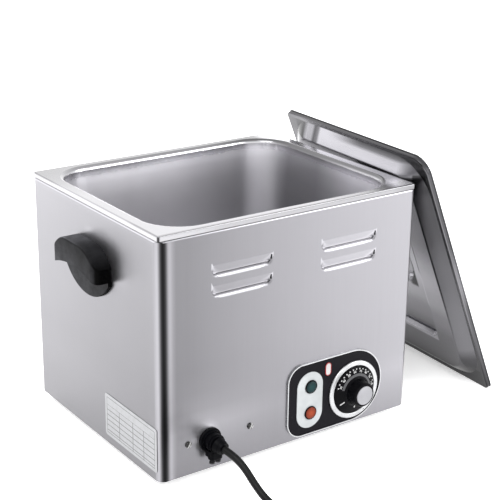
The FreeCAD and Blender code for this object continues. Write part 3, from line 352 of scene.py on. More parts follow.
def casing_steel():
    """Folded case: vertical brushing, with light and shade painted into the tone by place: painted reflections across
    the faces, a painted dark reflection in the near-left upright fold, a painted highlight along the broken top edge.
    """
    m, grain = sheet("casing_brushed_steel", 0.32, "z", 0.10, 0.04, 0.06)
    X, Y, Z = m.split(m.place())
    nx, ny, nz = turned(m)
    # front face: painted reflections, darker on the left and lighter to the right, a painted dark and light band
    # beside the near fold, and painted shade towards the bottom
    front = m.curve(X, [(-156.0, 0.046), (-154.8, 0.107), (-153.6, 0.214), (-152.4, 0.303), (-151.2, 0.329), (-149.9, 0.307), (-148.7, 0.268), (-147.5, 0.245), (-146.3, 0.227), (-145.1, 0.209), (-143.9, 0.198), (-131.0, 0.199), (-90.0, 0.233), (-20.0, 0.279), (60.0, 0.321), (164.0, 0.361)])
    front = m.mul(front, m.curve(Z, [(0.0, 0.93), (60.0, 0.96), (130.0, 0.99), (200.0, 0.98), (258.0, 0.97)]))
    # lower left: painted light lifts the sheet near the wound lead and in a ring round the gland, against the dark
    # reflection and shade they cast
    foot = m.mul(m.curve(X, [(-156.0, 1.0), (-122.0, 1.0), (-95.0, 0.62), (-60.0, 0.36), (-20.0, 0.12), (40.0, 0.08), (150.0, 0.20)]), m.curve(Z, [(0.0, 0.28), (10.0, 0.32), (20.0, 0.42), (30.0, 0.54), (40.0, 0.72), (50.0, 0.86), (60.0, 0.62), (70.0, 0.32), (90.0, 0.10), (115.0, 0.0)]))
    front = m.mul(front, m.math("ADD", 1.0, m.mul(foot, m.mul(m.step(X, -158.0, -150.0), m.step(Y, -100.0, -120.0)))))
    gx, gz = m.math("ADD", X, 110.0), m.math("SUBTRACT", Z, 38.0)
    gr = m.math("SQRT", m.math("ADD", m.mul(gx, gx), m.mul(gz, gz)))
    front = m.mul(front, m.blend(m.step(Y, -100.0, -120.0), 1.0, m.curve(gr, [(0.0, 1.8), (11.0, 1.8), (13.0, 1.45), (15.0, 1.18), (18.0, 1.06), (21.0, 1.0)])))
    # pressed louvres: a painted highlight along the lip that turns up at both ends, painted light on the slope above
    # it
    cx = m.blend(m.math("GREATER_THAN", X, 3.0), -65.3, 72.0)
    zb = m.blend(m.math("GREATER_THAN", Z, 205.6), 187.2, 209.0)
    xo, zo = m.math("SUBTRACT", X, cx), m.math("SUBTRACT", Z, zb)
    lipz = m.curve(xo, [(-38.0, 14.6), (-35.7, 10.6), (-34.2, 8.3), (-32.7, 6.3), (-29.7, 3.7), (-26.7, 2.6), (-19.7, 2.1), (20.3, 2.1), (25.3, 3.1), (29.3, 5.0), (32.3, 6.9), (35.3, 9.2), (37.5, 12.6)])
    half = m.curve(xo, [(-38.0, 4.6), (-34.5, 3.2), (-30.0, 2.2), (-20.0, 2.0), (22.0, 2.0), (32.0, 2.0), (37.5, 2.6)])
    over = m.math("SUBTRACT", zo, lipz)
    off = m.math("DIVIDE", m.math("ABSOLUTE", over), half)
    across = m.step(m.math("ABSOLUTE", xo), 38.2, 37.2)
    band = m.mul(m.step(Z, 184.0, 184.6), m.step(Z, 226.0, 225.0))
    slope = m.mul(m.mul(across, band), m.mul(m.step(over, 1.0, 2.0), m.step(zo, 14.6, 13.4)))
    front = m.mul(front, m.blend(slope, 1.0, m.curve(over, [(1.0, 1.9), (4.0, 1.6), (6.0, 1.34), (14.0, 1.30)])))
    lip = m.mul(m.mul(across, band), m.step(off, 1.15, 0.65))
    front = m.blend(lip, front, m.blend(m.step(ny, -0.9, -0.99), 0.40, 0.50))
    # left and right faces: painted light and shade, darker towards the bottom and the front, lighter towards the top
    # and the back
    side = m.mul(m.curve(Y, [(-125.1, 0.320), (-121.7, 0.296), (-108.0, 0.290), (-60.0, 0.302), (0.0, 0.322), (60.0, 0.350), (133.0, 0.378)]), m.curve(Z, [(0.0, 0.75), (70.0, 0.87), (100.0, 0.875), (130.0, 0.92), (180.0, 0.98), (220.0, 1.043), (250.0, 1.13), (256.0, 1.20), (258.5, 1.26)]))
    # the grip's dark reflection falls on the sheet beside and above it; painted light lifts the sheet there
    beside = m.mul(m.curve(Y, [(-82.0, 0.0), (-75.0, 0.5), (-70.0, 1.05), (-60.0, 2.3), (-52.0, 2.9), (-38.0, 2.9), (-34.0, 0.0)]), m.curve(Z, [(184.0, 0.0), (190.0, 0.10), (200.0, 0.50), (210.0, 1.0), (220.0, 0.76), (230.0, 0.42), (240.0, 0.12), (246.0, 0.0)]))
    above = m.mul(m.curve(Y, [(-76.0, 0.0), (-66.0, 0.5), (-60.0, 1.0), (-50.0, 2.2), (-40.0, 2.9), (2.0, 2.9), (10.0, 1.0), (16.0, 0.0)]), m.curve(Z, [(200.0, 0.0), (204.0, 1.0), (229.0, 1.0), (234.0, 0.45), (238.0, 0.06), (241.0, 0.0)]))
    glow = m.mul(m.math("MINIMUM", m.mul(m.math("MAXIMUM", beside, above), 0.22), 0.36), m.step(X, 0.0, -100.0))
    side = m.mul(side, m.math("ADD", 1.0, glow))
    n2 = m.mul(nx, nx)
    tone = m.blend(m.mul(m.step(n2, 0.25, 0.75), m.math("SUBTRACT", 1.0, m.mul(m.mul(across, band), m.step(Y, -118.0, -122.0)))), front, side)
    # near-left upright fold: painted dark reflection with painted light bands beside it, read off the facing of the
    # surface
    corner = m.mul(m.step(X, -155.8, -156.4), m.step(Y, -125.0, -125.5))
    fold = m.curve(n2, [(0.0, 0.046), (0.018, 0.022), (0.067, 0.013), (0.139, 0.014), (0.23, 0.028), (0.334, 0.066), (0.446, 0.166), (0.564, 0.29), (0.681, 0.40), (0.792, 0.41), (0.891, 0.39), (0.966, 0.365), (1.0, 0.340)])
    tone = m.blend(corner, tone, fold)
    # top edge: painted highlight along the broken edge, lighter to the right and at the back, left out on the folds
    # except at the near corner
    s = m.math("ABSOLUTE", m.mul(m.mul(nx, ny), 2.0))
    edge = m.step(Z, CASE_H - 1.9, CASE_H - 1.0)
    rim = m.blend(m.step(Y, -131.0, -128.0), m.curve(X, [(-164.0, 0.32), (-145.0, 0.34), (-110.0, 0.41), (-60.0, 0.50), (0.0, 0.58), (60.0, 0.66), (164.0, 0.70)]), 0.74)
    tone = m.blend(m.mul(edge, m.blend(corner, 1.0, m.step(s, 0.7, 0.3))), tone, rim)
    m.tint(m.mul(tone, grain), (1.0, 0.985, 1.05))
    return m


def pan_steel():
    """Deep drawn pan with painted light and shade: painted reflections on the flange and lip, grey drawn walls inside
    with painted light and shade, a painted dark outer bend over a lighter skirt.
    """
    m, grain = sheet("pan_pressed_steel", 0.20, "n", 0.04, 0.03, 0.02)
    X, Y, Z = m.split(m.place())
    nx, ny, nz = turned(m)
    ax, ay = m.math("ABSOLUTE", X), m.math("ABSOLUTE", Y)
    # flange top: painted reflections, dimmer towards the right and the back, with painted highlights at the right end
    flat = m.curve(X, [(-163.0, 0.68), (40.0, 0.68), (60.0, 0.60), (90.0, 0.52), (110.0, 0.42), (130.0, 0.39), (145.0, 1.35), (163.0, 1.5)])
    flat = m.mul(flat, m.blend(m.step(X, 100.0, 140.0), m.curve(Y, [(-133.0, 1.0), (20.0, 0.96), (55.0, 0.84), (85.0, 0.66), (115.0, 0.58), (133.0, 0.56)]), m.curve(Y, [(-133.0, 1.4), (-116.0, 1.2), (-100.0, 0.56), (-80.0, 0.50), (-60.0, 0.60), (-20.0, 0.84), (30.0, 1.05), (133.0, 0.8)])))
    flat = m.mul(flat, m.blend(m.mul(m.step(Y, -128.6, -129.6), m.step(X, 140.0, 110.0)), 1.0, 0.76))
    flat = m.mul(flat, m.blend(m.step(X, 160.4, 161.4), 1.0, m.curve(Y, [(-133.0, 1.6), (-112.0, 1.3), (-100.0, 1.25), (-80.0, 1.4), (-60.0, 1.1), (-40.0, 0.9), (0.0, 0.78), (133.0, 0.78)])))
    # rounded lip: painted reflection, darker towards the right and the back
    lip = m.mul(m.curve(X, [(-163.0, 0.80), (60.0, 0.66), (110.0, 0.34), (163.0, 0.20)]), m.curve(Y, [(-133.0, 1.0), (20.0, 0.95), (85.0, 0.76), (112.0, 0.58), (124.0, 0.42), (133.0, 0.40)]))
    # inner walls: painted light just below the mouth, painted shade further down, and a painted darker patch at the
    # right end
    depth = m.math("SUBTRACT", PAN_TOP, Z)
    inner = m.curve(depth, [(1.0, 0.50), (3.0, 0.60), (6.5, 0.96), (9.0, 1.28), (14.0, 1.26), (22.0, 1.06), (40.0, 0.90), (90.0, 0.80), (150.0, 0.76)])
    inner = m.mul(inner, m.blend(m.step(X, 125.0, 150.0), 1.0, m.curve(Y, [(-133.0, 1.2), (-45.0, 0.95), (-10.0, 0.62), (20.0, 0.40), (75.0, 0.38), (100.0, 0.55), (133.0, 0.80)])))
    tone = m.blend(m.step(nz, 0.975, 0.992), lip, flat)
    within = m.mul(m.step(ax, 162.0, 161.0), m.step(ay, 131.2, 130.4))
    below = m.step(depth, 1.2, 3.6)
    tone = m.blend(m.mul(within, below), tone, inner)
    # walls facing out or down below the flange: painted shade, darker deeper down
    outward = m.math("ADD", m.mul(nx, X), m.mul(ny, Y))
    tone = m.blend(m.mul(m.mul(within, below), m.math("MAXIMUM", m.step(outward, 10.0, 40.0), m.step(nz, -0.3, -0.6))), tone, m.curve(depth, [(0.0, 0.34), (60.0, 0.31), (150.0, 0.27)]))
    m.rough(m.math("ADD", m.worn, m.mul(m.mul(within, m.step(depth, 6.0, 16.0)), 0.14)))
    # outer bend and skirt: painted dark reflection on the bend, painted tones on the skirt, darker on its rounded
    # corners and towards the right
    outer = m.math("SUBTRACT", 1.0, within)
    bend = m.mul(outer, m.mul(m.step(nz, 0.12, 0.45), m.step(nz, 0.97, 0.80)))
    s = m.math("ABSOLUTE", m.mul(m.mul(nx, ny), 2.0))
    n2 = m.mul(nx, nx)
    nearby = m.mul(m.step(X, -150.0, -157.0), m.step(Y, -118.0, -126.0))
    face = m.curve(X, [(-162.0, 0.46), (-110.0, 0.42), (-90.0, 0.37), (60.0, 0.355), (130.0, 0.35), (155.0, 0.27), (163.0, 0.24)])
    skirt = m.mul(m.blend(m.step(n2, 0.25, 0.75), face, 0.64), m.blend(nearby, m.curve(s, [(0.0, 1.0), (0.5, 0.9), (1.0, 0.6)]), m.curve(s, [(0.0, 1.0), (0.4, 0.8), (0.8, 0.2), (1.0, 0.05)])))
    tone = m.blend(m.mul(outer, m.step(nz, 0.45, 0.12)), tone, skirt)
    tone = m.blend(bend, tone, m.mul(0.16, m.curve(s, [(0.0, 1.0), (0.5, 0.9), (1.0, 0.3)])))
    # painted dark line along the outer edge of the flange, left out on the corners except the near one
    line = m.mul(m.math("MAXIMUM", m.step(ax, 161.3, 162.1), m.step(ay, 129.7, 130.6)), m.step(Z, PAN_TOP - 1.9, PAN_TOP - 1.4))
    dim = m.blend(m.step(ay, 130.9, 131.4), m.curve(Y, [(-133.0, 0.44), (-90.0, 0.46), (-70.0, 0.58), (60.0, 0.60), (90.0, 0.42), (133.0, 0.36)]), m.curve(X, [(-163.0, 0.40), (-90.0, 0.34), (0.0, 0.30), (80.0, 0.25), (163.0, 0.28)]))
    tone = m.blend(m.mul(line, m.blend(nearby, 1.0, m.step(s, 0.7, 0.3))), tone, dim)
    m.tint(m.mul(tone, grain), (1.0, 0.99, 1.03))
    return m


LEAN, TURN = math.radians(22.12), math.radians(-2.665)
LID_O = (287.9, -145.6, FLOOR - 0.48)
LU = (-math.sin(LEAN) * math.cos(TURN), -math.sin(LEAN) * math.sin(TURN), math.cos(LEAN))
LV = (-math.sin(TURN), math.cos(TURN), 0.0)
LN = tuple(Vector(LU).cross(Vector(LV)))


def lid_steel():
    """Pressed lid with light and shade painted zone by zone; u runs up the lid, v from the near side to the far one.
    """
    m, grain = sheet("lid_pressed_steel", 0.24, "n", 0.04, 0.05, 0.02)
    pos = m.place()
    u, v, n = (m.along(pos, LID_O, a) for a in (LU, LV, LN))
    nn = m.along(m.tc.outputs["Normal"], (0.0, 0.0, 0.0), LN)
    # painted light and shade by zone: the plate lit brightest in its middle, the near wall dark, the top wall lit with
    # dark bands, the lowest strip in painted shade
    plate = m.curve(u, [(25.0, 0.06), (38.0, 0.13), (46.0, 0.155), (55.0, 0.18), (75.0, 0.23), (90.0, 0.33), (105.0, 0.39), (120.0, 0.55), (135.0, 0.60), (150.0, 0.70), (165.0, 0.71), (180.0, 0.67), (195.0, 0.60), (210.0, 0.46), (240.0, 0.43), (303.0, 0.26)])
    near = m.curve(u, [(20.0, 0.07), (32.0, 0.075), (45.0, 0.10), (60.0, 0.215), (90.0, 0.215), (120.0, 0.20), (150.0, 0.172), (180.0, 0.163), (195.0, 0.150), (210.0, 0.133), (240.0, 0.11), (270.0, 0.095), (303.0, 0.09)])
    near = m.mul(near, m.curve(v, [(5.0, 0.82), (11.0, 0.87), (20.0, 0.82)]))
    top = m.curve(v, [(5.0, 0.10), (14.0, 0.18), (22.0, 0.24), (30.0, 0.36), (44.0, 0.66), (100.0, 0.72), (192.0, 0.70), (196.0, 0.25), (203.0, 0.13), (208.0, 0.45), (218.0, 0.48), (227.0, 0.11), (238.0, 0.09), (250.0, 0.13)])
    top = m.mul(top, m.blend(m.step(v, 110.0, 185.0), m.curve(u, [(303.0, 0.90), (307.0, 1.0), (313.0, 0.90), (316.0, 0.32), (319.0, 0.17), (322.0, 0.13)]), 1.0))
    top = m.mul(top, m.blend(m.mul(m.step(v, 222.0, 228.0), m.step(v, 249.0, 244.0)), 1.0, m.curve(u, [(298.0, 0.10), (305.0, 0.12), (308.0, 0.32), (312.0, 0.55), (317.0, 0.90)])))
    low = 0.035
    tone = m.blend(m.step(v, 22.8, 21.6), plate, near)
    tone = m.blend(m.step(v, 242.0, 243.5), tone, 0.16)
    tone = m.blend(m.step(u, 302.4, 303.6), tone, top)
    tone = m.blend(m.step(u, 25.8, 24.2), tone, low)
    # ridges: painted dark reflection along them
    rn = m.mul(m.curve(v, [(20.3, 0.0), (21.2, 1.0), (22.6, 1.0), (23.6, 0.0)]), m.curve(u, [(70.0, 0.0), (115.0, 0.55), (150.0, 0.60), (200.0, 0.50), (250.0, 0.38), (285.0, 0.18), (300.0, 0.08)]))
    rt = m.mul(m.curve(u, [(299.0, 0.0), (300.6, 1.0), (303.0, 1.0), (304.6, 0.0)]), m.mul(m.step(v, 20.0, 32.0), m.step(v, 240.0, 228.0)))
    tone = m.blend(m.math("MAXIMUM", rn, m.mul(rt, 0.25)), tone, 0.04)
    # pocket edges: painted light and dark bands along them
    inu = m.mul(m.step(u, 66.0, 72.0), m.step(u, 258.0, 250.0))
    pe = m.mul(m.curve(v, [(52.2, 0.0), (53.4, 1.0), (55.2, 1.0), (56.4, 0.0)]), inu)
    tone = m.blend(m.mul(pe, m.curve(u, [(60.0, 0.5), (162.0, 0.6), (167.0, 0.9), (200.0, 0.9), (204.0, 0.3), (250.0, 0.3)])), tone, m.curve(u, [(60.0, 0.25), (112.0, 0.35), (120.0, 0.92), (160.0, 0.90), (166.0, 0.04), (200.0, 0.04), (206.0, 0.25)]))
    pl = m.mul(m.curve(u, [(59.5, 0.0), (61.5, 1.0), (70.0, 1.0), (73.0, 0.0)]), m.mul(m.step(v, 53.0, 57.0), m.step(v, 212.0, 208.0)))
    tone = m.blend(pl, tone, 0.46)
    # cup: painted shade in its hollow
    cu = m.mul(m.mul(m.step(u, 129.0, 134.0), m.step(u, 196.0, 191.0)), m.mul(m.step(v, 71.0, 74.0), m.step(v, 90.0, 82.0)))
    tone = m.blend(cu, tone, 0.05)
    # flange and skirt round the body: painted light and shade, darkest at the lower end, with the skirt given its own
    # painted tone along u
    off = m.math("MAXIMUM", m.math("MAXIMUM", m.math("SUBTRACT", 5.0, v), m.math("SUBTRACT", v, 260.0)), m.math("MAXIMUM", m.math("SUBTRACT", 8.0, u), m.math("SUBTRACT", u, 320.0)))
    flange = m.blend(m.step(u, 312.0, 322.0), m.curve(u, [(0.0, 0.032), (30.0, 0.055), (45.0, 0.080), (75.0, 0.115), (90.0, 0.155), (105.0, 0.20), (120.0, 0.23), (135.0, 0.23), (150.0, 0.26), (165.0, 0.25), (180.0, 0.22), (195.0, 0.18), (225.0, 0.20), (255.0, 0.18), (300.0, 0.14)]), m.curve(v, [(0.0, 0.05), (60.0, 0.10), (150.0, 0.13), (215.0, 0.20), (228.0, 0.24), (240.0, 0.19), (258.0, 0.14), (265.0, 0.12)]))
    tone = m.blend(m.step(off, -0.4, 0.4), tone, flange)
    tone = m.blend(m.step(n, -0.6, -1.6), tone, m.curve(u, [(0.0, 0.05), (60.0, 0.10), (120.0, 0.10), (150.0, 0.20), (180.0, 0.17), (210.0, 0.085), (330.0, 0.08)]))
    # inside of the lid keeps the plain drawn sheet
    tone = m.blend(m.step(nn, -0.10, -0.25), tone, 0.40)
    m.tint(m.mul(tone, grain), (1.0, 0.985, 1.05))
    return m


M = {}
M["casing"] = casing_steel()
M["inner"] = brushed("inner_mill_steel", (0.50, 0.50, 0.51), 0.38, "x", 0.05, 0.6)
M["pan"] = pan_steel()
M["lid"] = lid_steel()
M["strap"] = brushed("strap_steel", (0.42, 0.42, 0.43), 0.28, "y", 0.03, 0.7, 0.07)


def plated(name, base, rough):
    m = Mat(name, base, 1.0, rough)
    n = m.noise(420.0, 3.0)
    m.rough(m.span(n, rough * 0.7, rough * 1.35, 0.3, 0.7))
    cl = m.noise(90.0, 2.0)
    m.color(m.mix(m.span(cl, 0.0, 1.0, 0.3, 0.75), tuple(k * 0.86 for k in base), base))
    m.bump(n, 0.08, 0.0002)
    return m


M["screw"] = plated("bright_plated_screw", (0.66, 0.66, 0.66), 0.24)
M["heater"] = plated("heat_dark_tube", (0.30, 0.27, 0.24), 0.42)
M["brass"] = plated("turned_brass", (0.72, 0.55, 0.27), 0.28)
M["copper"] = plated("drawn_copper", (0.72, 0.40, 0.26), 0.30)
M["trim"] = plated("satin_silver_trim", (0.66, 0.665, 0.68), 0.34)


def slotted_steel():
    """Bright screw heads with painted light and shade: a painted dark slot, a painted highlight band and a painted
    shaded half.
    """
    m = Mat("slotted_screw_steel", (0.6, 0.6, 0.6), 1.0, 0.25)
    X, Y, Z = m.split(m.place())
    cx = m.blend(m.step(X, -95.0, -90.0), -130.6, -53.8)
    cz = m.blend(m.step(X, -95.0, -90.0), 34.7, 34.1)
    dx, dz = m.math("SUBTRACT", X, cx), m.math("SUBTRACT", Z, cz)
    t = m.math("ADD", m.mul(dx, 0.88), m.mul(dz, -0.47))
    tone = m.curve(t, [(-4.0, 0.10), (-2.4, 0.05), (-0.7, 0.03), (-0.4, 0.85), (0.7, 0.9), (1.0, 0.10), (1.8, 0.06), (2.1, 0.62), (4.0, 0.5)])
    g = m.noise(500.0, 3.0)
    tone = m.mul(tone, m.span(g, 0.85, 1.15, 0.3, 0.7))
    m.rough(m.span(g, 0.20, 0.34, 0.3, 0.7))
    m.bump(g, 0.08, 0.0002)
    m.tint(tone, (1.0, 1.0, 1.0))
    return m


M["slotted"] = slotted_steel()


def plastic(name, base, rough, grain=900.0, bump=0.12, **sockets):
    """Moulded plastic: fine spark-eroded grain, slow tone shift and slightly worn sheen."""
    sockets["Specular_IOR_Level"] = sockets.get("Specular_IOR_Level", 0.5) * KEY
    m = Mat(name, base, 0.0, rough, **sockets)
    g = m.noise(grain, 2.0, 0.5)
    t = m.noise(22.0, 3.0, 0.5)
    m.rough(m.math("ADD", m.span(g, rough - 0.05, rough + 0.06, 0.3, 0.7), m.math("MULTIPLY", m.math("SUBTRACT", t, 0.5), 0.12), clamp=True))
    m.color(m.mix(m.span(t, 0.0, 1.0, 0.3, 0.7), tuple(k * 0.82 for k in base), tuple(min(1, k * 1.12) for k in base)))
    m.bump(g, bump, 0.0002)
    return m


def grip_plastic():
    """Moulded grip with painted light and shade: painted light on its outer face, broken up by dust, and painted deep
    shade on its end and inside walls.
    """
    m = plastic("black_moulded_grip", (0.008, 0.008, 0.010), 0.46, 1100.0, 0.10, Specular_IOR_Level=0.03)
    X, Y, Z = m.split(m.place())
    nx, ny, nz = turned(m)
    worn = m.noise(95.0, 4.0, 0.6)
    # outer face: painted light, dimmer towards the near end and the top, broken up by dust; other faces: painted deep
    # shade, the upward ones lighter towards the far end
    face = m.mul(m.mul(m.curve(Z, [(140.0, 0.040), (165.0, 0.048), (198.0, 0.052), (208.0, 0.036), (218.0, 0.024), (232.0, 0.022)]), m.curve(Y, [(-50.0, 0.42), (-15.0, 0.58), (20.0, 0.95), (60.0, 1.0)])), m.span(worn, 0.75, 1.25, 0.3, 0.7))
    wall = m.blend(m.step(nz, 0.3, 0.85), 0.0012, m.mul(m.curve(Y, [(-50.0, 0.006), (-10.0, 0.026), (10.0, 0.075), (30.0, 0.11)]), m.span(worn, 0.8, 1.2, 0.3, 0.7)))
    tone = m.blend(m.step(m.math("ABSOLUTE", nx), 0.55, 0.95), wall, face)
    n = m.node("ShaderNodeCombineColor")
    for i, k in enumerate((0.97, 0.97, 1.06)):
        m.link(m.mul(tone, k), n.inputs[i])
    m.color(n.outputs[0])
    return m


M["black"] = grip_plastic()
M["knob"] = plastic("black_knob", (0.003, 0.003, 0.004), 0.30, 1300.0, 0.10, Specular_IOR_Level=0.05)
M["gland"] = plastic("black_gland", (0.003, 0.003, 0.004), 0.38, 1000.0, 0.16, Specular_IOR_Level=0.05)
M["panel"] = plastic("black_panel_film", (0.007, 0.0065, 0.009), 0.46, 2600.0, 0.10, Specular_IOR_Level=0.07)
M["white"] = plastic("white_lamp_plate", (0.48, 0.50, 0.51), 0.40, 1500.0, 0.05, Specular_IOR_Level=0.2)
M["badge"] = plastic("white_badge", (0.58, 0.56, 0.56), 0.36, 1500.0, 0.05, Specular_IOR_Level=0.2)
M["badge_red"] = plastic("badge_border", (0.42, 0.035, 0.035), 0.38, 1500.0, 0.05)
M["cap"] = plastic("pearl_cap", (0.33, 0.33, 0.35), 0.34, 1500.0, 0.05, Specular_IOR_Level=0.25)
M["block"] = plastic("white_moulded_block", (0.78, 0.77, 0.72), 0.45)
M["wires"] = plastic("wire_cover", (0.22, 0.22, 0.24), 0.45)
M["print_white"] = plastic("dial_print", (0.56, 0.56, 0.56), 0.45, 2000.0, 0.03)
M["print_grey"] = plastic("dial_band", (0.085, 0.085, 0.090), 0.42, 2000.0, 0.05, Specular_IOR_Level=0.2)
M["print_dark"] = plastic("index_mark", (0.03, 0.03, 0.03), 0.4, 2000.0, 0.03)


def lens(name, deep, bright, z0):
    """Clear-moulded lamp lens: painted shade at the rim, painted light through the middle, fine moulded rings."""
    m = Mat(name, deep, 0.0, 0.14, Specular_IOR_Level=0.12)
    x, y, z = m.xyz()
    c = P(24.5, 0, z0)
    dx = m.math("SUBTRACT", x, c.x)
    dz = m.math("SUBTRACT", z, c.z)
    r = m.math("SQRT", m.math("ADD", m.math("MULTIPLY", dx, dx), m.math("MULTIPLY", dz, dz)))
    f = m.span(r, 1.0, 0.0, 0.0006, 0.0066)
    m.color(m.mix(f, deep, bright))
    w = m.math("SINE", m.math("MULTIPLY", r, 9000.0))
    m.bump(w, 0.15, 0.0002)
    n = m.noise(300.0, 2.0)
    m.rough(m.span(n, 0.08, 0.18, 0.3, 0.7))
    return m


M["green"] = lens("green_lens", (0.0003, 0.015, 0.017), (0.0008, 0.034, 0.036), 59.7)
M["orange"] = lens("orange_lens", (0.17, 0.022, 0.006), (0.31, 0.048, 0.012), 28.7)


def rubber(name, base, rough, bump=0.2, scale=700.0):
    m = Mat(name, base, 0.0, rough, Specular_IOR_Level=0.4)
    g = m.noise(scale, 3.0, 0.6)
    dust = m.noise(40.0, 4.0, 0.6)
    m.color(m.mix(m.span(dust, 0.0, 1.0, 0.45, 0.8), base, tuple(min(1, k * 1.5 + 0.006) for k in base)))
    m.rough(m.span(g, rough - 0.07, rough + 0.07, 0.3, 0.7))
    m.bump(g, bump, 0.0002)
    return m


M["foot"] = rubber("foot_rubber", (0.020, 0.020, 0.020), 0.62)
M["cord"] = rubber("cord_jacket", (0.005, 0.005, 0.005), 0.40, 0.12, 500.0)
M["cord"].b.inputs["Specular IOR Level"].default_value = 0.11
M["plug"] = plastic("plug_moulding", (0.010, 0.010, 0.011), 0.42, 800.0, 0.2, Specular_IOR_Level=0.2)
M["dark_screw"] = plated("blackened_screw", (0.045, 0.045, 0.047), 0.35)

# foil plate on the side: bare, with ruled rows and columns
label = Mat("ruled_foil_plate", (0.62, 0.63, 0.64), 0.35, 0.34)
lx, ly, lz = label.xyz()
# distance from the upper left corner of the plate, in millimetres
v_ = label.math("MULTIPLY", label.math("SUBTRACT", P(0, 0, 58.5).z, lz), 1000.0)
u_ = label.math("MULTIPLY", label.math("SUBTRACT", P(0, -22.5, 0).y, ly), 1000.0)


def ruled(coord, start, step, width):
    t = label.math("MODULO", label.math("SUBTRACT", coord, start), step)
    return label.math("LESS_THAN", label.math("ABSOLUTE", label.math("SUBTRACT", t, step / 2)), width / 2)


def between(coord, a, b):
    return label.math("MULTIPLY", label.math("GREATER_THAN", coord, a), label.math("LESS_THAN", coord, b))


inside = label.math("MULTIPLY", between(u_, 4.0, 101.5), between(v_, 12.0, 45.0))
rows = label.math("MULTIPLY", ruled(v_, 9.0, 6.0, 0.8), inside)
col1 = label.math("LESS_THAN", label.math("ABSOLUTE", label.math("SUBTRACT", u_, 30.0)), 0.45)
col2 = label.math("LESS_THAN", label.math("ABSOLUTE", label.math("SUBTRACT", u_, 58.0)), 0.45)
col3 = label.math("LESS_THAN", label.math("ABSOLUTE", label.math("SUBTRACT", u_, 80.0)), 0.45)
cols = label.math("MULTIPLY", label.math("MAXIMUM", col1, label.math("MAXIMUM", col2, col3)), inside)
edge = label.math("SUBTRACT", label.math("MULTIPLY", between(u_, 3.6, 101.9), between(v_, 3.6, 45.4)), label.math("MULTIPLY", between(u_, 4.2, 101.3), between(v_, 4.2, 44.8)))
ink = label.math("MAXIMUM", label.math("MAXIMUM", rows, cols), edge)
foil = label.noise(160.0, 3.0)
label.color(label.mix(ink, label.mix(label.span(foil, 0.0, 1.0, 0.3, 0.7), (0.37, 0.375, 0.385), (0.44, 0.445, 0.46)), (0.07, 0.07, 0.08)))
label.rough(label.span(foil, 0.28, 0.42, 0.3, 0.7))
label.bump(ink, 0.2, 0.00005)
M["label"] = label

node_mats = {
    "casing": ["body_shell", "rear_panel", "base_plate"],
    "inner": ["inner_tank", "element_saddles", "bulb_clip", "cutout_bridge", "gland_bracket"],
    "pan": ["pan"],
    "lid": ["lid"],
    "strap": ["lid_handle"],
    "screw": ["thermostat_screws", "lamp_nuts", "bracket_nuts", "handle_bolts", "handle_washers", "foot_screws", "foot_nuts", "base_screws", "rear_screws", "lid_rivets"],
    "slotted": ["front_screws"],
    "dark_screw": ["gland_clamp_screws"],
    "heater": ["heating_element"],
    "brass": ["element_fittings", "capillary_gland", "thermostat_spindle", "plug_pins", "terminal_screws", "earth_stud"],
    "copper": ["capillary_tube", "sensor_bulb"],
    "trim": ["control_trim", "dial_bezel"],
    "black": ["side_handle_left", "side_handle_right"],
    "knob": ["knob", "lamp_bezels", "lamp_bodies", "thermal_cutout"],
    "gland": ["gland_flange", "gland_body", "gland_clamp", "gland_collar", "gland_locknut"],
    "panel": ["control_plate"],
    "white": ["lamp_plate"],
    "badge": ["badge_plate"],
    "cap": ["knob_cap"],
    "green": ["power_lamp_lens"],
    "orange": ["heat_lamp_lens"],
    "block": ["terminal_block", "thermostat_body"],
    "wires": ["internal_wires"],
    "label": ["rating_plate"],
    "foot": ["feet"],
    "cord": ["power_cord", "cord_coil", "cord_tail"],
    "plug": ["plug"],
}
for key, names in node_mats.items():
    for n in names:
        o = N[n]
        o.data.materials.clear()
        o.data.materials.append(M[key].m)
        for p in o.data.polygons:
            p.use_smooth = True
        o.data.set_sharp_from_angle(angle=math.radians(32))


def finish_piece(o, mat, body):
    o.data.materials.clear()
    o.data.materials.append(M[mat].m)
    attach(o, body)
    return o


# ------------------------------------------------------------------ power cord, coil and tail
CD = 8.0
COIL_X, COIL_Y, COIL_R = -133.0, -275.0, 43.0
Z0 = FLOOR + CD / 2
LIFT = CD * math.sqrt(3) / 2
route = [
    (-102.8, -157.6, 31.8),
    (-99.8, -171.6, 29.2),
    (-97.2, -186.6, 22.0),
    (-95.2, -201.6, 9.6),
    (-93.2, -217.6, 0.2),
    (-89.6, -235.4, -4.2),
    (-84.6, -254.6, Z0),
    (COIL_X + COIL_R + CD, -273.0, Z0),
]


def ease(t):
    t = min(max(t, 0.0), 1.0)
    return t * t * (3 - 2 * t)


def coil_at(a):
    """Radius and height of the winding after a degrees."""
    R3, R2, R1 = COIL_R + CD, COIL_R, COIL_R - CD
    T2, T1 = COIL_R - CD / 2, COIL_R + CD / 2
    if a <= 300:
        return R3, 0.0
    if a <= 360:
        return R3 + (R2 - R3) * ease((a - 300) / 60), 0.0
    if a <= 660:
        return R2, 0.0
    if a <= 720:
        return R2 + (R1 - R2) * ease((a - 660) / 60), 0.0
    if a <= 985:
        return R1, 0.0
    if a <= 1080:
        return R1 - 0.6 * math.sin(math.pi * ease((a - 985) / 50)) + (T2 - R1) * ease((a - 1030) / 50), LIFT * ease((a - 985) / 50)
    if a <= 1380:
        return T2, LIFT
    if a <= 1440:
        return T2 + (T1 - T2) * ease((a - 1380) / 60), LIFT
    return T1, LIFT


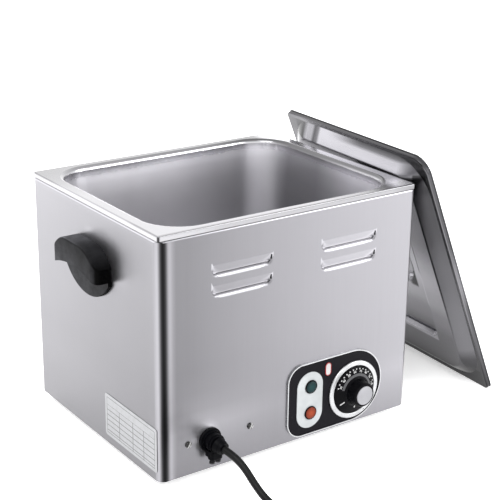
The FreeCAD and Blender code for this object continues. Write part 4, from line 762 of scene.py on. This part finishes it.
STEP = 20.0
OUT = 1.0154            # control points stand this much further out than the line they make
END = 1440.0 + 155.0
k = 1
while k * STEP < END - 8.0:
    a = k * STEP
    r, h = coil_at(a)
    t = math.radians(-a)
    route.append((COIL_X + r * OUT * math.cos(t), COIL_Y + r * OUT * math.sin(t), Z0 + h))
    k += 1
PA = math.radians(205)
PT = Vector((COIL_X + (COIL_R + CD / 2) * math.cos(PA), COIL_Y + (COIL_R + CD / 2) * math.sin(PA), Z0 + LIFT))
PD = Vector((math.sin(PA), -math.cos(PA), 0))
PO = Vector((math.cos(PA), math.sin(PA), 0))
tail = [PT + PO * 0.5, PT + PD * 18.0 + Vector((0, 0, 0.3)), PT + PD * 35.6 + PO * 3.6 + Vector((0, 0, 1.07)), PT + PD * 52.0 + PO * 9.6 + Vector((0, 0, 1.07))]
route += [tuple(q) for q in tail]

cu = bpy.data.curves.new("mains_lead", "CURVE")
cu.dimensions = "3D"
cu.resolution_u = 6
cu.bevel_depth = mm(CD / 2)
cu.bevel_resolution = 5
cu.use_fill_caps = True
sp = cu.splines.new("NURBS")
sp.points.add(len(route) - 1)
for q, pt in zip(route, sp.points):
    pt.co = (*P(*q), 1.0)
sp.order_u = 3
sp.use_endpoint_u = True
sp.use_smooth = True
lead = bpy.data.objects.new("mains_lead", cu)
bpy.context.scene.collection.objects.link(lead)
cu.materials.append(M["cord"].m)
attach(lead, "housing")
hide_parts("power_cord", "cord_coil", "cord_tail")


def spline_length(ob):
    """Length of the curve's own line."""
    c2 = ob.data.copy()
    c2.bevel_depth = 0.0
    tmp = bpy.data.objects.new("tmp_line", c2)
    bpy.context.scene.collection.objects.link(tmp)
    me = bpy.data.meshes.new_from_object(tmp)
    co = [v.co.copy() for v in me.vertices]
    total = sum((b - a).length for a, b in zip(co, co[1:]))
    bpy.data.objects.remove(tmp)
    bpy.data.meshes.remove(me)
    bpy.data.curves.remove(c2)
    return total, co


lead_length, lead_line = spline_length(lead)
print("lead length", round(lead_length, 4))

# tie round the bundle
bm = bmesh.new()
ta = math.radians(118)
tc_ = Vector((COIL_X + COIL_R * math.cos(ta), COIL_Y + COIL_R * math.sin(ta), 0))
tr = Vector((math.cos(ta), math.sin(ta), 0))
tt = Vector((-math.sin(ta), math.cos(ta), 0))
outline = []
zb, zt = FLOOR + 0.3, FLOOR + CD + LIFT + 0.9


def around(cx, cz, r, a0, a1, n=6):
    return [(cx + r * math.cos(math.radians(a0 + (a1 - a0) * i / n)), cz + r * math.sin(math.radians(a0 + (a1 - a0) * i / n))) for i in range(n + 1)]


outline += around(8.6, zb + 4.2, 4.2, -90, 20)
outline += around(4.2, zt - 4.4, 4.4, 20, 90)
outline += around(-4.2, zt - 4.4, 4.4, 90, 160)
outline += around(-8.6, zb + 4.2, 4.2, 160, 270)
rings = []
for i, (a, b) in enumerate(outline):
    p0, p1 = outline[i - 1], outline[(i + 1) % len(outline)]
    tx, tz = p1[0] - p0[0], p1[1] - p0[1]
    ln = math.hypot(tx, tz)
    nx, nz = tz / ln, -tx / ln
    ring = []
    for w, th in ((-3.4, 0.0), (-3.4, 0.5), (-2.9, 0.9), (2.9, 0.9), (3.4, 0.5), (3.4, 0.0)):
        lift = th if b > FLOOR + 1.2 else th * 0.3
        q = tc_ + tr * (a + nx * lift) + tt * w + Vector((0, 0, b + nz * lift))
        ring.append(P(*q))
    rings.append(ring)
rings_mesh(bm, rings, loop=True)
bmesh.ops.recalc_face_normals(bm, faces=bm.faces)
tie = new_mesh("cord_tie", bm, angle=40)
finish_piece(tie, "gland", "housing")

# ------------------------------------------------------------------ plug
PX = (tail[3] - tail[2])
PX.z = 0
PX.normalize()
PS = tail[3] - PX * 12.0
PS.z = FLOOR + 12.0
PYv = Vector((-PX.y, PX.x, 0))


def plug_pt(x, y, z):
    return P(*(PS + PX * x + PYv * y + Vector((0, 0, z))))


bm = bmesh.new()
rings = []


def super_ring(x, hy, hz, e, n=40, dz=0.0):
    out = []
    for i in range(n):
        a = 2 * math.pi * i / n
        ca, sa = math.cos(a), math.sin(a)
        out.append(plug_pt(x, hy * abs(ca) ** (2 / e) * (1 if ca >= 0 else -1), dz + hz * abs(sa) ** (2 / e) * (1 if sa >= 0 else -1)))
    return out


prof = [(0.0, 4.35, 4.35, 2), (0.0, 5.0, 5.0, 2), (0.8, 5.4, 5.4, 2)]
x = 2.0
for i in range(5):           # ribs of the bend relief
    r = 5.5 + i * 0.55
    prof += [(x, r, r, 2), (x + 0.5, r + 0.55, r + 0.55, 2), (x + 2.4, r + 0.65, r + 0.65, 2), (x + 2.9, r + 0.1, r + 0.1, 2), (x + 3.9, r - 0.35, r - 0.35, 2)]
    x += 4.4
prof += [(24.6, 9.0, 8.0, 2.2), (27.0, 10.6, 9.0, 2.4), (31.0, 12.4, 10.0, 2.8), (34.5, 14.0, 11.0, 3.2), (38.0, 15.6, 11.5, 3.6)]
prof += [(40.0, 16.0, 11.3, 3.8), (40.8, 15.2, 10.6, 3.8), (42.0, 15.2, 10.6, 3.8), (42.8, 16.6, 11.5, 3.8)]
prof += [(44.8, 16.8, 11.5, 3.8), (45.6, 16.0, 10.8, 3.8), (46.8, 16.0, 10.8, 3.8), (47.6, 17.4, 11.7, 3.8)]
prof += [(50.0, 18.0, 11.9, 4.0), (55.0, 18.6, 11.95, 4.2), (60.6, 18.9, 11.95, 4.4), (61.7, 18.5, 11.5, 4.4), (62.0, 17.8, 10.9, 4.4)]
for q in prof:
    rings.append(super_ring(*q))
rings_mesh(bm, rings)
bmesh.ops.recalc_face_normals(bm, faces=bm.faces)
plug = new_mesh("plug_moulded", bm, angle=38)
finish_piece(plug, "plug", "housing")
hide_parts("plug")

# ------------------------------------------------------------------ dial print: band, ticks, numerals
KX, KZ = 84.2, 41.0
KY = FRONT - 1.5 - 1.0
YF = Vector((0, -1, 0))
# skirt of the knob between these radii and heights out of the wall
SK = [(27.6, 1.6), (26.2, 2.6), (17.4, 5.2)]


def skirt_h(r):
    for (ra, ha), (rb, hb) in zip(SK, SK[1:]):
        if rb <= r <= ra:
            return ha + (hb - ha) * (ra - r) / (ra - rb)
    return SK[-1][1] if r < SK[-1][0] else SK[0][1]


def dial_pt(r, a, lift):
    """Point on the knob's skirt at radius r and clock angle a (degrees, clockwise from the top)."""
    t = math.radians(a)
    return P(KX + r * math.sin(t), KY - skirt_h(r) - lift, KZ + r * math.cos(t))


def patch(name, r0, r1, a0, a1, lift, mat, thick=0.12, nr=4, na=None):
    na = na or max(2, int(abs(a1 - a0) / 3))
    bm = bmesh.new()
    top = [[bm.verts.new(dial_pt(r0 + (r1 - r0) * i / nr, a0 + (a1 - a0) * j / na, lift)) for j in range(na + 1)] for i in range(nr + 1)]
    low = [[bm.verts.new(dial_pt(r0 + (r1 - r0) * i / nr, a0 + (a1 - a0) * j / na, lift - thick)) for j in range(na + 1)] for i in range(nr + 1)]
    for g, flip in ((top, False), (low, True)):
        for i in range(nr):
            for j in range(na):
                f = [g[i][j], g[i][j + 1], g[i + 1][j + 1], g[i + 1][j]]
                bm.faces.new(f[::-1] if flip else f)
    loop = [(0, j) for j in range(na)] + [(i, na) for i in range(nr)] + [(nr, j) for j in range(na, 0, -1)] + [(i, 0) for i in range(nr, 0, -1)]
    for q, w in zip(loop, loop[1:] + loop[:1]):
        bm.faces.new((top[q[0]][q[1]], top[w[0]][w[1]], low[w[0]][w[1]], low[q[0]][q[1]]))
    bmesh.ops.recalc_face_normals(bm, faces=bm.faces)
    return new_mesh(name, bm, smooth=True, angle=40)


band = patch("dial_band", 17.5, 20.3, -76, 92, 0.10, "print_grey")
finish_piece(band, "print_grey", "knob")

ticks = []
marks = [(-66, "30"), (-38, "50"), (-10, "70"), (18, "90"), (46, "110"), (72, "")]
for i in range(16):
    a = -72 + 10.6 * i
    t_ = patch("t", 24.7, 25.9, a - 1.5, a + 1.5, 0.14, "print_white", nr=1, na=1)
    ticks.append(t_)
for a in (-122,):
    ticks.append(patch("t", 18.6, 24.6, a - 1.9, a + 1.9, 0.12, "print_white", nr=2, na=1))
ticks.append(patch("t", 17.6, 20.2, 183.0, 186.6, 0.12, "print_white", nr=2, na=1))


def glyph_mesh(text, size):
    cu = bpy.data.curves.new("g", "FONT")
    cu.body = text
    cu.size = size
    cu.align_x = "CENTER"
    cu.align_y = "CENTER"
    cu.extrude = 0.00008
    cu.offset = size * 0.018
    cu.resolution_u = 3
    ob = bpy.data.objects.new("g", cu)
    bpy.context.scene.collection.objects.link(ob)
    me = bpy.data.meshes.new_from_object(ob)
    bpy.data.objects.remove(ob)
    return me


numerals = []
for a, text in ((-68, "30"), (-47, "40"), (-26, "50"), (-5, "60"), (16, "70"), (37, "80"), (58, "90"), (82, "110")):
    me = glyph_mesh(text, 0.0036)
    t = math.radians(a)
    rr = 22.6
    base = dial_pt(rr, a, 0.18)
    out = Vector((math.sin(t), 0, math.cos(t)))          # radially outwards, seen from the front
    slope = math.atan2(5.2 - 2.6, 26.2 - 17.4)
    upv = (out * math.cos(slope) + Vector((0, 1, 0)) * math.sin(slope)).normalized()
    xv = Vector((math.cos(t), 0, -math.sin(t)))
    nv = xv.cross(upv).normalized()
    mt = Matrix((xv, upv, nv)).transposed().to_4x4()
    mt.translation = base
    me.transform(mt)
    ob = bpy.data.objects.new("n", me)
    bpy.context.scene.collection.objects.link(ob)
    numerals.append(ob)


def join(name, obs):
    bm = bmesh.new()
    for o in obs:
        me = o.data
        bm.from_mesh(me)
        bpy.data.objects.remove(o)
    o = new_mesh(name, bm, smooth=False)
    return o


dial_marks = join("dial_ticks", ticks)
finish_piece(dial_marks, "print_white", "knob")
dial_numbers = join("dial_numbers", numerals)
finish_piece(dial_numbers, "print_white", "knob")

# the index dot on the ring
bm = bmesh.new()
cpt = P(KX + 31.2 * math.sin(math.radians(152)), FRONT - 1.5 - 2.30, KZ + 31.2 * math.cos(math.radians(152)))
lathe(bm, [(0, 0), (mm(0.75), 0), (mm(0.7), mm(0.16)), (0, mm(0.2))], cpt, YF, Vector((1, 0, 0)), 20, close=False)
bmesh.ops.recalc_face_normals(bm, faces=bm.faces)
dot = new_mesh("index_dot", bm, angle=40)
finish_piece(dot, "print_dark", "housing")

# red edge of the small pill
bm = bmesh.new()


def pill(cx, cz, w, h, n=14):
    r = w / 2
    pts = []
    for i in range(n + 1):
        a = math.pi * i / n
        pts.append((cx + r * math.cos(a), cz + (h / 2 - r) + r * math.sin(a)))
    for i in range(n + 1):
        a = math.pi + math.pi * i / n
        pts.append((cx + r * math.cos(a), cz - (h / 2 - r) + r * math.sin(a)))
    return pts


y0 = FRONT - 1.5
sec = [(7.8, 15.1, 0.0), (7.8, 15.1, 0.5), (7.5, 14.8, 0.72), (6.5, 13.8, 0.72), (6.2, 13.5, 0.45)]
rings_mesh(bm, [[P(a, y0 - h, b) for a, b in pill(48.05, 74.3, w, l)] for w, l, h in sec], cap_start=False, cap_end=False)
bmesh.ops.recalc_face_normals(bm, faces=bm.faces)
badge_edge = new_mesh("badge_border", bm, angle=45)
finish_piece(badge_edge, "badge_red", "housing")

# ------------------------------------------------------------------ floor and light
bm = bmesh.new()
s = 6.0
vs = [bm.verts.new((x, y, 0)) for x, y in ((-s, -s), (s, -s), (s, s), (-s, s))]
bm.faces.new(vs)
floor = new_mesh("floor", bm, smooth=False)
fm = Mat("pale_floor", (0.95, 0.95, 0.95), 0.0, 0.9)
fn = fm.noise(6.0, 2.0)
fm.color(fm.mix(fm.span(fn, 0.0, 1.0, 0.3, 0.7), (0.945, 0.945, 0.945), (0.96, 0.96, 0.96)), 1.0)
fm.b.inputs["Emission Color"].default_value = (1.0, 1.0, 1.0, 1.0)
fm.b.inputs["Emission Strength"].default_value = 0.45
floor.data.materials.append(fm.m)

world = bpy.data.worlds.new("studio")
bpy.context.scene.world = world
world.use_nodes = True
bg = world.node_tree.nodes["Background"]
bg.inputs[0].default_value = (1.0, 1.0, 1.0, 1)
bg.inputs[1].default_value = 1.09 / KEY


def area(name, loc, target, size, power, size_y=None, color=(1, 1, 1)):
    li = bpy.data.lights.new(name, "AREA")
    li.energy = power
    li.size = size
    if size_y:
        li.shape = "RECTANGLE"
        li.size_y = size_y
    li.color = color
    o = bpy.data.objects.new(name, li)
    bpy.context.scene.collection.objects.link(o)
    o.location = loc
    o.rotation_euler = (Vector(target) - Vector(loc)).to_track_quat("-Z", "Y").to_euler()
    return o


area("key", (-1.2, -0.6, 1.9), (0, 0, 0.15), 1.4, 19.5 / KEY)
area("fill_right", (1.5, -1.6, 1.0), (0.1, 0, 0.05), 1.2, 24 / KEY)

vs_ = bpy.context.scene.view_settings
vs_.view_transform = "Standard"
vs_.look = "None"
vs_.exposure = 0.0
vs_.gamma = 1.0
